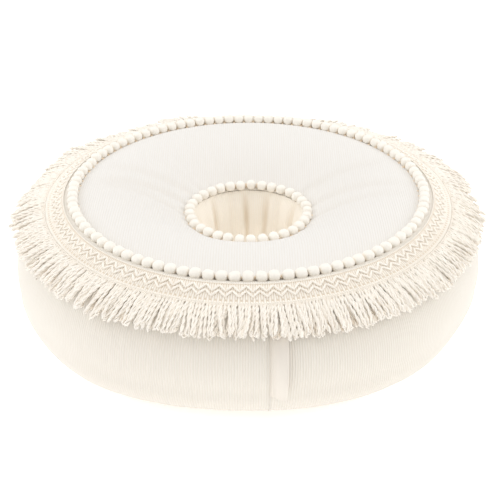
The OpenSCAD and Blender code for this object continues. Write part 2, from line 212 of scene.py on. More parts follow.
class StageSettings(bpy.types.PropertyGroup):
    """Camera, light and floor."""

    lens: share("Lens", "Focal length on a 36 mm wide sensor, in millimetres", 72.07)
    distance: bpy.props.FloatProperty(
        name="Distance",
        description="Distance from the camera to the middle of the outer ball ring",
        default=1.0769,
        unit="LENGTH",
    )
    elevation: share("Elevation", "Height of the camera above the ring, in degrees", 26.32)
    pitch: share("Pitch", "How far the camera looks down, in degrees", 30.0)
    aside: length("Aside", "How far the camera stands to the right of centre", 1.7)
    sky: share("Sky", "Strength of the surrounding light", 0.61)
    key: share("Key", "Power of the overhead softbox, in watts", 9.0)
    sides: share("Sides", "Power of each side softbox, in watts", 8.5)
    front: share("Front", "Power of the warm light from the front, in watts", 4.0)
    floor: colour("Floor", "Colour of the floor", (0.95, 0.945, 0.94))


SETTINGS = {
    "cushion_cover": CoverSettings,
    "cushion_trim": TrimSettings,
    "cushion_fringe": FringeSettings,
    "cushion_label": LabelSettings,
    "cushion_zip": ZipSettings,
    "cushion_stage": StageSettings,
}


# Mesh helpers ------------------------------------------------------------------------------------------


def deselect():
    """Leaves edit mode and deselects every object."""
    if bpy.context.object and bpy.context.object.mode != "OBJECT":
        bpy.ops.object.mode_set(mode="OBJECT")
    bpy.ops.object.select_all(action="DESELECT")


def activate(piece):
    """Makes a piece the only selected object and the active one."""
    deselect()
    piece.select_set(True)
    bpy.context.view_layer.objects.active = piece


def points_of(piece):
    """The piece's vertices as an array."""
    co = np.empty(len(piece.data.vertices) * 3)
    piece.data.vertices.foreach_get("co", co)
    return co.reshape(-1, 3)


def set_points(piece, co):
    """Writes the piece's vertices from an array."""
    piece.data.vertices.foreach_set("co", np.asarray(co, np.float32).ravel())
    piece.data.update()


def corner_vertices(piece):
    """The vertex of each face corner."""
    found = np.empty(len(piece.data.loops), np.int32)
    piece.data.loops.foreach_get("vertex_index", found)
    return found


def numbers(piece, name, values=None):
    """Reads a per-vertex number, or writes it when values are given."""
    if values is not None:
        layer = piece.data.attributes.get(name) or piece.data.attributes.new(name, "FLOAT", "POINT")
        layer.data.foreach_set("value", np.asarray(values, np.float32))
        return None
    found = np.empty(len(piece.data.vertices), np.float32)
    piece.data.attributes[name].data.foreach_get("value", found)
    return found


def ring(name, section, steps):
    """A closed section of (radius, height) points, spun once round the cushion's axis."""
    deselect()
    bpy.ops.mesh.primitive_circle_add(vertices=len(section), radius=0.1)
    piece = bpy.context.object
    piece.name = piece.data.name = name
    start = np.array([math.cos(FRONT_JOIN), math.sin(FRONT_JOIN)])
    section = np.asarray(section, float)
    set_points(piece, np.column_stack([section[:, :1] * start, section[:, 1]]))
    bpy.ops.object.mode_set(mode="EDIT")
    bpy.ops.mesh.select_all(action="SELECT")
    bpy.ops.mesh.spin(steps=steps, angle=TURN, center=(0, 0, 0), axis=(0, 0, 1))
    bpy.ops.mesh.select_all(action="SELECT")
    bpy.ops.mesh.remove_doubles(threshold=MERGE)
    bpy.ops.mesh.normals_make_consistent(inside=False)
    bpy.ops.object.mode_set(mode="OBJECT")
    return piece


def cords(name, paths, radius, closed=False, sides=6, caps=True):
    """Round cords along lists of points, as one mesh."""
    data = bpy.data.curves.new(name, "CURVE")
    data.dimensions = "3D"
    data.bevel_depth = radius
    data.bevel_resolution = (sides - 4) // 2
    data.use_fill_caps = caps and not closed
    for path in paths:
        path = np.asarray(path, float)
        spline = data.splines.new("POLY")
        spline.points.add(len(path) - 1)
        spline.points.foreach_set("co", np.column_stack([path[:, :3], np.ones(len(path))]).ravel())
        if path.shape[1] > 3:
            spline.points.foreach_set("radius", path[:, 3])
        spline.use_cyclic_u = closed
        spline.use_smooth = True
    piece = bpy.data.objects.new(name, data)
    bpy.context.scene.collection.objects.link(piece)
    activate(piece)
    bpy.ops.object.convert(target="MESH")
    piece = bpy.context.object
    piece.name = piece.data.name = name
    bpy.ops.object.shade_smooth()
    return piece


def two_ply(centre, turns, away):
    """The routes of two plies twisted round a ring at (radius, height) centre."""
    t = np.arange(turns * 7) / (turns * 7)
    plies = []
    for phase in (0, math.pi):
        twist = TURN * turns * t + phase
        plies.append(polar(centre[0] + away * np.cos(twist), TURN * t, centre[1] + away * np.sin(twist)))
    return plies


def modify(piece, kind, **settings):
    """Adds a modifier with the given settings and applies it."""
    activate(piece)
    modifier = piece.modifiers.new(kind.title(), kind)
    for name, value in settings.items():
        setattr(modifier, name, value)
    bpy.ops.object.modifier_apply(modifier=modifier.name)


def smooth(piece):
    """Shades a piece smooth."""
    activate(piece)
    bpy.ops.object.shade_smooth()
    return piece


def write_map(piece, uv):
    """Gives a piece the one map that its weave follows."""
    while piece.data.uv_layers:
        piece.data.uv_layers.remove(piece.data.uv_layers[0])
    layer = piece.data.uv_layers.new(name="weave")
    layer.uv.foreach_set("vector", np.asarray(uv, np.float32).ravel())


def joined(name, pieces):
    """Joins copies into one piece."""
    deselect()
    for piece in pieces:
        piece.select_set(True)
    bpy.context.view_layer.objects.active = pieces[0]
    bpy.ops.object.join()
    pieces[0].name = pieces[0].data.name = name
    return pieces[0]


def place(piece, material, nodes, body="root"):
    """Gives a finished piece its material and its body, hides the CAD nodes it stands for and names it after
    the first.
    """
    piece.data.materials.clear()
    piece.data.materials.append(material)
    if body:
        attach(piece, body)
    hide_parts(*nodes)
    piece.name = piece.data.name = nodes[0] + "_finished"
    return piece


def smoothstep(edge_a, edge_b, x):
    """0 before edge_a, 1 after edge_b, and smooth between them."""
    t = np.clip((x - edge_a) / (edge_b - edge_a), 0, 1)
    return t * t * (3 - 2 * t)


def around(angle, target):
    """The difference between two angles, from -pi to pi."""
    return (angle - target + math.pi) % TURN - math.pi


def polar(radius, angle, height):
    """Points from radii, angles and heights."""
    return np.stack(np.broadcast_arrays(radius * np.cos(angle), radius * np.sin(angle), height), -1)


# The meridian of the cover -----------------------------------------------------------------------------


def bezier(a, b, c, d, t):
    """Points on a cubic curve."""
    t = np.asarray(t)[:, None]
    return (1 - t) ** 3 * a + 3 * (1 - t) ** 2 * t * b + 3 * (1 - t) * t**2 * c + t**3 * d


def heading(degrees):
    """A unit step in (radius, height) at an angle above level."""
    return np.array([math.cos(math.radians(degrees)), math.sin(math.radians(degrees))])


def eased(steps, at_start, at_end):
    """Parameters from 0 up to, but not at, 1, closer together towards the ends that are eased."""
    t = np.arange(steps) / steps
    squeeze = 0.55 / TURN
    if at_start and at_end:
        return t - squeeze * np.sin(TURN * t)
    if at_start:
        return t - 2 * squeeze * np.sin(math.pi * t)
    if at_end:
        return t + 2 * squeeze * np.sin(math.pi * t)
    return t


TOP, CREST, SHOULDER, UPPER, SLOT, LOWER, EDGE, FLAT, RISE, SLEEVE = 30, 4, 7, 18, 3, 18, 4, 16, 4, 26
K_TOP_SEAM = TOP
K_CREST = TOP + CREST
K_ZIP_TOP = K_CREST + SHOULDER + UPPER
K_ZIP_BOTTOM = K_ZIP_TOP + SLOT
K_BASE_SEAM = K_ZIP_BOTTOM + LOWER
K_SLEEVE_FOOT = K_BASE_SEAM + EDGE + FLAT + RISE
ROWS = K_SLEEVE_FOOT + SLEEVE
COLUMNS = 480


class Meridian:
    """The cover's section: key points, and its rows of (radius, height)."""

    def __init__(self):
        cover = bpy.context.scene.cushion_cover
        fringe = bpy.context.scene.cushion_fringe
        self.rim = INNER_BALL - [0, 6.6 * MM]
        self.top_seam = OUTER_BALL - [0, 5.6 * MM]
        self.crest = self.top_seam + np.array([8.5, 3.4]) * MM
        self.slope_out = heading(-fringe.slope)
        self.slope_up = heading(90 - fringe.slope)
        self.shoulder = self.crest + (fringe.header_w + 3 * MM) * self.slope_out
        self.zip_top = np.array([SIDE_R, ZIP_TOP_Z])
        self.zip_bottom = np.array([SIDE_R, ZIP_BOTTOM_Z])
        self.foot = np.array([self.rim[0] + 2 * MM, BASE_SEAM[1]])
        rise = np.array([0, cover.crown_rise])
        span = self.top_seam - self.rim
        fall = self.shoulder[1] - self.zip_top[1]
        drop = self.zip_bottom[1] - BASE_SEAM[1]
        climb = self.rim[1] - self.foot[1]
        out = SIDE_R - self.shoulder[0]
        edge = 15 * MM
        base_out = np.array([BASE_SEAM[0] - edge, 0])
        base_in = np.array([self.foot[0] + edge, 0])
        bulge = np.array([-16 * MM, 0.24 * climb])
        rows = [
            bezier(
                self.rim,
                self.rim + 0.33 * span + 1.25 * rise,
                self.rim + 0.70 * span + 1.55 * rise,
                self.top_seam,
                eased(TOP, True, True),
            ),
            bezier(
                self.top_seam,
                self.top_seam + np.array([2.2, 2.6]) * MM,
                self.crest - 3 * MM * self.slope_out,
                self.crest,
                eased(CREST, False, False),
            ),
            self.crest + eased(SHOULDER, False, False)[:, None] * (self.shoulder - self.crest),
            bezier(
                self.shoulder,
                self.shoulder + 0.42 * out * np.array([1, -math.tan(math.radians(fringe.slope + 4))]),
                self.zip_top + [0, 0.52 * fall],
                self.zip_top,
                eased(UPPER, False, False),
            ),
            self.zip_top + eased(SLOT, False, False)[:, None] * (self.zip_bottom - self.zip_top),
            bezier(
                self.zip_bottom,
                self.zip_bottom - [0, 0.6 * drop],
                BASE_SEAM + np.array([20 * MM, 0.26 * drop]),
                BASE_SEAM,
                eased(LOWER, False, True),
            ),
            bezier(
                BASE_SEAM,
                BASE_SEAM - np.array([0.4 * edge, 3 * MM]),
                base_out + [0.4 * edge, 0],
                base_out,
                eased(EDGE, False, False),
            ),
            base_out + eased(FLAT, False, False)[:, None] * (base_in - base_out),
            bezier(
                base_in,
                base_in - [0.4 * edge, 0],
                self.foot + np.array([0.4 * edge, -3 * MM]),
                self.foot,
                eased(RISE, False, False),
            ),
            bezier(
                self.foot,
                self.foot + bulge,
                self.rim + bulge * [1, -1],
                self.rim,
                eased(SLEEVE, True, True),
            ),
        ]
        self.rows = np.concatenate(rows)
        self.run = np.concatenate([[0], np.cumsum(np.linalg.norm(np.diff(self.rows, axis=0), axis=1))])

    def on_header(self, distance, height):
        """A point down the header from its crest, and off its cloth."""
        distance, height = np.asarray(distance)[..., None], np.asarray(height)[..., None]
        return self.crest + distance * self.slope_out + height * self.slope_up

    def top_height(self, radius):
        """The height of the top panel at a radius."""
        rows = self.rows[: K_TOP_SEAM + 1]
        return np.interp(radius, rows[:, 0], rows[:, 1])


# Materials ---------------------------------------------------------------------------------------------


class Wire:
    """A socket whose Python operators add Math nodes."""

    def __init__(self, finish, socket):
        self.finish = finish
        self.socket = socket

    def maths(self, operation, *others):
        values = {i: v for i, v in enumerate((self, *others))}
        return self.finish.node("ShaderNodeMath", {"operation": operation}, values)

    def __add__(self, other):
        return self.maths("ADD", other)

    def __radd__(self, other):
        return self.maths("ADD", other)

    def __sub__(self, other):
        return self.maths("SUBTRACT", other)

    def __rsub__(self, other):
        return self.finish.node("ShaderNodeMath", {"operation": "SUBTRACT"}, {0: other, 1: self})

    def __mul__(self, other):
        return self.maths("MULTIPLY", other)

    def __rmul__(self, other):
        return self.maths("MULTIPLY", other)

    def __truediv__(self, other):
        return self.maths("DIVIDE", other)

    def __pow__(self, other):
        return self.maths("POWER", other)

    def sine(self):
        return self.maths("SINE")

    def absolute(self):
        return self.maths("ABSOLUTE")

    def clamped(self):
        return self.finish.node("ShaderNodeClamp", {}, {"Value": self})


class Finish:
    """A material under construction, with a Principled shader."""

    def __init__(self, name, **constants):
        self.material = bpy.data.materials.new(name)
        self.material.use_nodes = True
        self.tree = self.material.node_tree
        self.shader = self.tree.nodes["Principled BSDF"]
        for socket, value in constants.items():
            name = socket.replace("_", " ").title().replace("Ior", "IOR")
            self.shader.inputs[name].default_value = value

    def fill(self, target, value):
        """Links a wire to a socket, or sets a plain value on it."""
        if isinstance(value, Wire):
            self.tree.links.new(value.socket, target)
        elif target.type == "RGBA" and len(value) == 3:
            target.default_value = (*value, 1)
        else:
            target.default_value = value

    def node(self, kind, settings=None, inputs=None, output=0):
        """Adds a node: its settings first, then the values or links of its sockets."""
        made = self.tree.nodes.new(kind)
        for name, value in (settings or {}).items():
            setattr(made, name, value)
        for name, value in (inputs or {}).items():
            self.fill(made.inputs[name], value)
        return Wire(self, made.outputs[output])

    def parts(self, vector):
        """The three numbers of a vector."""
        made = self.tree.nodes.new("ShaderNodeSeparateXYZ")
        self.fill(made.inputs[0], vector)
        return [Wire(self, made.outputs[i]) for i in range(3)]

    def painted_shade(self):
        """Painted shade, from 0 to 1: how deep in a fold or between cords a point lies, where the piece says
        so.
        """
        made = self.tree.nodes.new("ShaderNodeAttribute")
        made.attribute_name = "depth"
        return Wire(self, made.outputs["Fac"])

    def place(self):
        """Object coordinates."""
        return self.node("ShaderNodeTexCoord", output="Object")

    def cloth(self):
        """Coordinates across and along the ribs, in metres, from the piece's own map."""
        return self.node("ShaderNodeUVMap", {"uv_map": "weave"})

    def scaled(self, vector, factors):
        """A vector stretched along its axes."""
        inputs = {0: vector, 1: factors}
        return self.node("ShaderNodeVectorMath", {"operation": "MULTIPLY"}, inputs)

    def noise(self, vector, scale, detail=2.0, roughness=0.5):
        """Fractal noise from 0 to 1."""
        inputs = {"Vector": vector, "Scale": scale, "Detail": detail, "Roughness": roughness}
        return self.node("ShaderNodeTexNoise", {}, inputs)

    def mix(self, factor, first, second):
        """A blend of two colours."""
        made = self.tree.nodes.new("ShaderNodeMix")
        made.data_type = "RGBA"
        for socket, value in ((0, factor), (6, first), (7, second)):
            self.fill(made.inputs[socket], value)
        return Wire(self, made.outputs[2])

    def bump(self, height, depth, strength=1.0):
        """Relief of a given depth in metres, as the shader's normal."""
        inputs = {"Height": height, "Distance": depth, "Strength": strength}
        self.set("Normal", self.node("ShaderNodeBump", {}, inputs))

    def set(self, socket, value):
        """Sets or links one of the shader's own sockets."""
        self.fill(self.shader.inputs[socket], value)


def tint(value, by):
    """A colour scaled by a number."""
    return tuple(min(1.0, c * by) for c in value)


def cooled(value, by):
    """A colour scaled by a number and moved a little towards white."""
    return tuple(min(1.0, c * by * w) for c, w in zip(value, (1.0, 1.006, 1.022)))


def warmed(value, by):
    """A colour scaled by a number and moved a little towards straw."""
    return tuple(min(1.0, c * by * w) for c, w in zip(value, (1.0, 0.982, 0.95)))


def warm_deep(value, by):
    """A colour scaled by a number and moved well towards straw, the colour of painted shade."""
    return tuple(c * by * w for c, w in zip(value, (1.0, 0.90, 0.77)))


def ribbed_cloth(name, ridge, valley, pitch, relief=1.0, wander=0.7):
    """Ribbed cotton: soft ribs along the second map axis, fine crossing yarns, and uneven spinning."""
    finish = Finish(name, roughness=0.88, sheen_weight=0.22, sheen_roughness=0.45, specular_ior_level=0.25)
    weave = finish.cloth()
    across, along, _ = finish.parts(weave)
    drift = finish.noise(finish.scaled(weave, (60.0, 9.0, 1.0)), 1.0, 2.0)
    rib_phase = (across + (drift - 0.5) * (wander * pitch)) * (TURN / pitch)
    rib = rib_phase.sine() * 0.5 + 0.5
    yarn = (along * (TURN / (1.1 * MM)) + (rib_phase * 0.5).sine() * 1.5).sine() * 0.5 + 0.5
    slub = finish.noise(finish.scaled(weave, (420.0, 30.0, 1.0)), 1.0, 3.0)
    blotch = finish.noise(finish.scaled(weave, (7.0, 7.0, 1.0)), 1.0, 2.0)
    # The rib tops are painted lighter and the valleys between them darker, as painted light and shade on the
    # ribs; yarn, slub and blotch are the cloth's own uneven tone.
    lit = ((rib**0.7) * 0.62 + yarn * 0.12 + slub * 0.38 + (blotch - 0.5) * 0.22).clamped()
    woven = finish.mix(lit, valley, ridge)
    # Painted shade: the cloth turns a deeper straw in folds, tucks and low in the hole, as far as the piece's
    # depth attribute says.
    deep = warm_deep(valley, 0.76)
    finish.set("Base Color", finish.mix(finish.painted_shade(), woven, deep))
    finish.set("Roughness", 0.95 - lit * 0.14)
    finish.bump(rib * 0.75 + yarn * 0.12 + slub * 0.3, relief * 0.34 * MM)
    return finish.material


def plain_cloth(name, pale, dark, pitch):
    """Plain-weave cotton: yarns over and under in both directions."""
    finish = Finish(name, roughness=0.9, sheen_weight=0.12, specular_ior_level=0.2)
    weave = finish.cloth()
    across, along, _ = finish.parts(weave)
    warp = (across * (math.pi / pitch)).sine()
    weft = (along * (math.pi / pitch)).sine()
    checks = (warp * weft) * 0.5 + 0.5
    slub = finish.noise(finish.scaled(weave, (160.0, 160.0, 1.0)), 1.0, 3.0)
    finish.set("Base Color", finish.mix((checks * 0.5 + slub * 0.5).clamped(), dark, pale))
    finish.bump(checks + slub * 0.4, 0.2 * MM)
    return finish.material


def cotton_cord(name, pale, dark, scale=1.0):
    """Spun cotton thread: fine slanting fibres, uneven in colour."""
    finish = Finish(name, roughness=0.92, sheen_weight=0.18, sheen_roughness=0.5, specular_ior_level=0.2)
    place = finish.place()
    fibre = finish.noise(finish.scaled(place, (900.0, 900.0, 2200.0)), scale, 3.0, 0.6)
    uneven = finish.noise(place, 55.0 * scale, 2.0)
    hue = (fibre * 0.55 + uneven * 0.75 - 0.12).clamped()
    spun = finish.mix(hue, dark, pale)
    # Painted shade: deeper straw where the piece's depth attribute says a cord lies low, under or between
    # others.
    deep = warm_deep(dark, 0.78)
    finish.set("Base Color", finish.mix(finish.painted_shade(), spun, deep))
    finish.set("Roughness", 0.97 - hue * 0.1)
    finish.bump(fibre, 0.1 * MM)
    return finish.material


def felt_wool(name, pale):
    """Felted wool: matted short fibres over soft dimples."""
    finish = Finish(name, roughness=0.95, sheen_weight=0.15, sheen_roughness=0.6, specular_ior_level=0.12)
    place = finish.place()
    matted = finish.noise(place, 1500.0, 4.0, 0.65)
    dimple = finish.noise(place, 260.0, 2.0)
    wool = finish.mix((matted * 0.7 + dimple * 0.5).clamped(), tint(pale, 0.92), pale)
    # Painted shade: deeper straw on the underside of each ball and where it meets the next, as the piece's
    # depth attribute says.
    deep = warm_deep(pale, 0.8)
    finish.set("Base Color", finish.mix(finish.painted_shade(), wool, deep))
    finish.bump(matted * 0.5 + dimple, 0.25 * MM)
    return finish.material


def label_satin(name, pale):
    """Woven satin ribbon: long floats along its length, crossed by fine picks."""
    finish = Finish(name, roughness=0.42, sheen_weight=0.1, specular_ior_level=0.45)
    weave = finish.cloth()
    _, along, _ = finish.parts(weave)
    floats = finish.noise(finish.scaled(weave, (3200.0, 140.0, 1.0)), 1.0, 2.0)
    picks = (along * (TURN / (0.55 * MM))).sine() * 0.5 + 0.5
    finish.set("Base Color", finish.mix((floats * 0.6 + picks * 0.3).clamped(), tint(pale, 0.93), pale))
    finish.set("Roughness", 0.36 + floats * 0.16)
    finish.bump(floats * 0.6 + picks * 0.4, 0.05 * MM)
    return finish.material


def twill_tape(name, pale):
    """Zip tape: fine herringbone twill that follows the curve of the side."""
    finish = Finish(name, roughness=0.8, sheen_weight=0.1, specular_ior_level=0.3)
    x, y, z = finish.parts(finish.place())
    run = finish.node("ShaderNodeMath", {"operation": "ARCTAN2"}, {0: y, 1: x}) * SIDE_R
    rise = (z - ZIP_Z).absolute()
    twill = ((run + rise) * (TURN / (0.9 * MM))).sine() * 0.5 + 0.5
    finish.set("Base Color", finish.mix(twill, tint(pale, 0.84), pale))
    finish.bump(twill, 0.12 * MM)
    return finish.material


def nylon(name, pale):
    """Drawn monofilament: smooth, faintly cloudy."""
    finish = Finish(name, roughness=0.38, specular_ior_level=0.5)
    cloud = finish.noise(finish.place(), 700.0, 2.0)
    finish.set("Base Color", finish.mix(cloud, tint(pale, 0.9), pale))
    finish.set("Roughness", 0.3 + cloud * 0.2)
    finish.bump(cloud, 0.03 * MM)
    return finish.material


def nickel(name, pale):
    """Satin nickel plate with fine brushing, faintly cloudy."""
    finish = Finish(name, metallic=1.0, roughness=0.35)
    place = finish.place()
    brushed = finish.noise(finish.scaled(place, (500.0, 500.0, 4200.0)), 1.0, 2.0)
    cloud = finish.noise(place, 320.0, 2.0)
    finish.set("Base Color", finish.mix((brushed * 0.5 + cloud * 0.5).clamped(), tint(pale, 0.8), pale))
    finish.set("Roughness", 0.26 + brushed * 0.2)
    finish.bump(brushed, 0.02 * MM)
    return finish.material


def fibre_fill(name, pale):
    """Crimped polyester fibre, tangled at several scales."""
    finish = Finish(name, roughness=0.9, sheen_weight=0.3, specular_ior_level=0.2)
    place = finish.place()
    tangle = finish.noise(place, 420.0, 5.0, 0.7)
    clump = finish.noise(place, 60.0, 2.0)
    finish.set("Base Color", finish.mix((tangle * 0.6 + clump * 0.4).clamped(), tint(pale, 0.85), pale))
    finish.bump(tangle + clump, 1.2 * MM)
    return finish.material


def pale_floor(name, pale):
    """Seamless studio paper."""
    finish = Finish(name, roughness=0.7, specular_ior_level=0.1)
    grain = finish.noise(finish.place(), 900.0, 2.0)
    finish.set("Base Color", finish.mix(grain, tint(pale, 0.995), pale))
    finish.shader.inputs["Emission Color"].default_value = (1, 1, 1, 1)
    finish.shader.inputs["Emission Strength"].default_value = 0.46
    return finish.material


def material(finish):
    """The named finish, made when first asked for, under a name that no CAD material has."""
    name = finish + "_finish"
    if name in bpy.data.materials:
        return bpy.data.materials[name]
    scene = bpy.context.scene
    cover, trim, fringe = scene.cushion_cover, scene.cushion_trim, scene.cushion_fringe
    ridge, valley = tuple(cover.ridge), tuple(cover.valley)
    thread, cord, shade = tuple(trim.thread), tuple(fringe.cord), tuple(fringe.shade)
    lining, pitch = tuple(cover.lining), cover.rib_pitch
    makers = {
        # One cloth in lit and shaded copies: the side is painted darker and warmer, the top darker and
        # cooler, and the sleeve in the hole lighter, for how the light falls on each.
        "ribbed_cotton": lambda: ribbed_cloth(name, warmed(ridge, 0.875), warmed(valley, 0.865), pitch),
        "top_cotton": lambda: ribbed_cloth(name, cooled(ridge, 0.86), cooled(valley, 0.875), pitch, 0.5),
        "sleeve_cotton": lambda: ribbed_cloth(
            name, warmed(ridge, 1.045), warmed(valley, 1.1), pitch, 0.8, 0.2
        ),
        "base_cotton": lambda: plain_cloth(name, warmed(ridge, 0.86), warmed(valley, 0.86), 0.8 * MM),
        "trim_thread": lambda: cotton_cord(name, thread, tint(shade, 0.98)),
        # The ties are coloured in the deep straw of painted shade, so that they stand for the shadows between
        # the balls as well as the threads.
        "tie_thread": lambda: cotton_cord(name, warm_deep(shade, 0.98), warm_deep(shade, 0.84)),
        "fringe_cotton": lambda: cotton_cord(name, cord, shade),
        "felt_wool": lambda: felt_wool(name, tuple(trim.felt)),
        "label_satin": lambda: label_satin(name, tuple(scene.cushion_label.satin)),
        "zip_twill": lambda: twill_tape(name, tint(ridge, 0.99)),
        "zip_nylon": lambda: nylon(name, tuple(scene.cushion_zip.coil)),
        "zip_nickel": lambda: nickel(name, tuple(scene.cushion_zip.metal)),
        "lining_cotton": lambda: plain_cloth(name, lining, tint(lining, 0.85), 0.5 * MM),
        "fibre_fill": lambda: fibre_fill(name, tuple(cover.fibre)),
        "studio_paper": lambda: pale_floor(name, tuple(scene.cushion_stage.floor)),
    }
    return makers[finish]()


# The cover ---------------------------------------------------------------------------------------------


def grid_of(piece, meridian):
    """Which row and column of the spun form each vertex is on."""
    co = points_of(piece)
    flat = np.column_stack([np.hypot(co[:, 0], co[:, 1]), co[:, 2]])
    rows = np.argmin(((flat[:, None] - meridian.rows[None]) ** 2).sum(2), 1)
    turned = (np.arctan2(co[:, 1], co[:, 0]) - FRONT_JOIN) % TURN
    columns = np.rint(turned / TURN * COLUMNS).astype(int) % COLUMNS
    index = np.empty((COLUMNS, ROWS), int)
    index[columns, rows] = np.arange(len(co))
    return rows, columns, index


def filled_out(form, index):
    """The form's unevenness after a cloth simulation with pressure, held at its seams, as a grid of points.

    Each row's mean swelling is taken out, so the section stays as it is drawn.
    """
    cover = bpy.context.scene.cushion_cover
    start = points_of(form)
    firm = [0, K_TOP_SEAM, K_SLEEVE_FOOT, K_BASE_SEAM]
    firm += range(K_TOP_SEAM + 1, K_CREST + SHOULDER)
    firm += range(K_BASE_SEAM + 2, K_SLEEVE_FOOT - 1)
    firm += range(K_ZIP_TOP, K_ZIP_BOTTOM + 1)
    pinned = index[:, sorted(set(firm))].ravel()
    rng = np.random.default_rng(3)
    rough = rng.normal(0, 0.15 * MM, start.shape)
    rough[pinned] = 0
    set_points(form, start + rough)
    held = form.vertex_groups.new(name="held")
    held.add([int(i) for i in pinned], 1.0, "REPLACE")
    loose = form.vertex_groups.new(name="loose")
    wide = list(range(2, K_TOP_SEAM - 4)) + list(range(K_ZIP_BOTTOM + 2, K_BASE_SEAM))
    loose.add([int(i) for i in index[:, wide].ravel()], 1.0, "REPLACE")
    activate(form)
    cloth = form.modifiers.new("Cloth", "CLOTH")
    settings = cloth.settings
    settings.quality = 4
    settings.mass = 0.0003
    settings.air_damping = 0.2
    settings.tension_damping = settings.compression_damping = settings.shear_damping = 1
    settings.bending_stiffness = 0.3
    settings.bending_damping = 0.1
    settings.use_pressure = True
    settings.uniform_pressure_force = 2000
    settings.effector_weights.gravity = 0
    settings.vertex_group_mass = "held"
    settings.vertex_group_shrink = "loose"
    settings.shrink_min = 0.0
    settings.shrink_max = -0.05
    cloth.collision_settings.use_collision = False
    cloth.point_cache.frame_start = 1
    cloth.point_cache.frame_end = 20
    for step in range(1, 21):
        bpy.context.scene.frame_set(step)
    bpy.ops.object.modifier_apply(modifier=cloth.name)
    bpy.context.scene.frame_set(1)
    moved = points_of(form)
    step = (moved - start)[index]
    swell = step.mean(0, keepdims=True)
    radial = smoothed(step - swell, 2)
    reach = np.linalg.norm(radial, axis=2, keepdims=True)
    capped = radial * np.minimum(1, cover.sim_cap / np.maximum(reach, 1e-9))
    return start[index] + capped


def smoothed(grid, reach):
    """A grid of points averaged with its neighbours round the cushion."""
    return sum(np.roll(grid, k, 0) for k in range(-reach, reach + 1)) / (2 * reach + 1)


def outward(grid):
    """Unit normals of a grid of points, without the finest unevenness of the cloth."""
    grid = smoothed(grid, 6)
    along = np.roll(grid, -1, 1) - np.roll(grid, 1, 1)
    round_ = np.roll(grid, -1, 0) - np.roll(grid, 1, 0)
    normal = np.cross(along, round_)
    return normal / np.maximum(np.linalg.norm(normal, axis=2, keepdims=True), 1e-12)


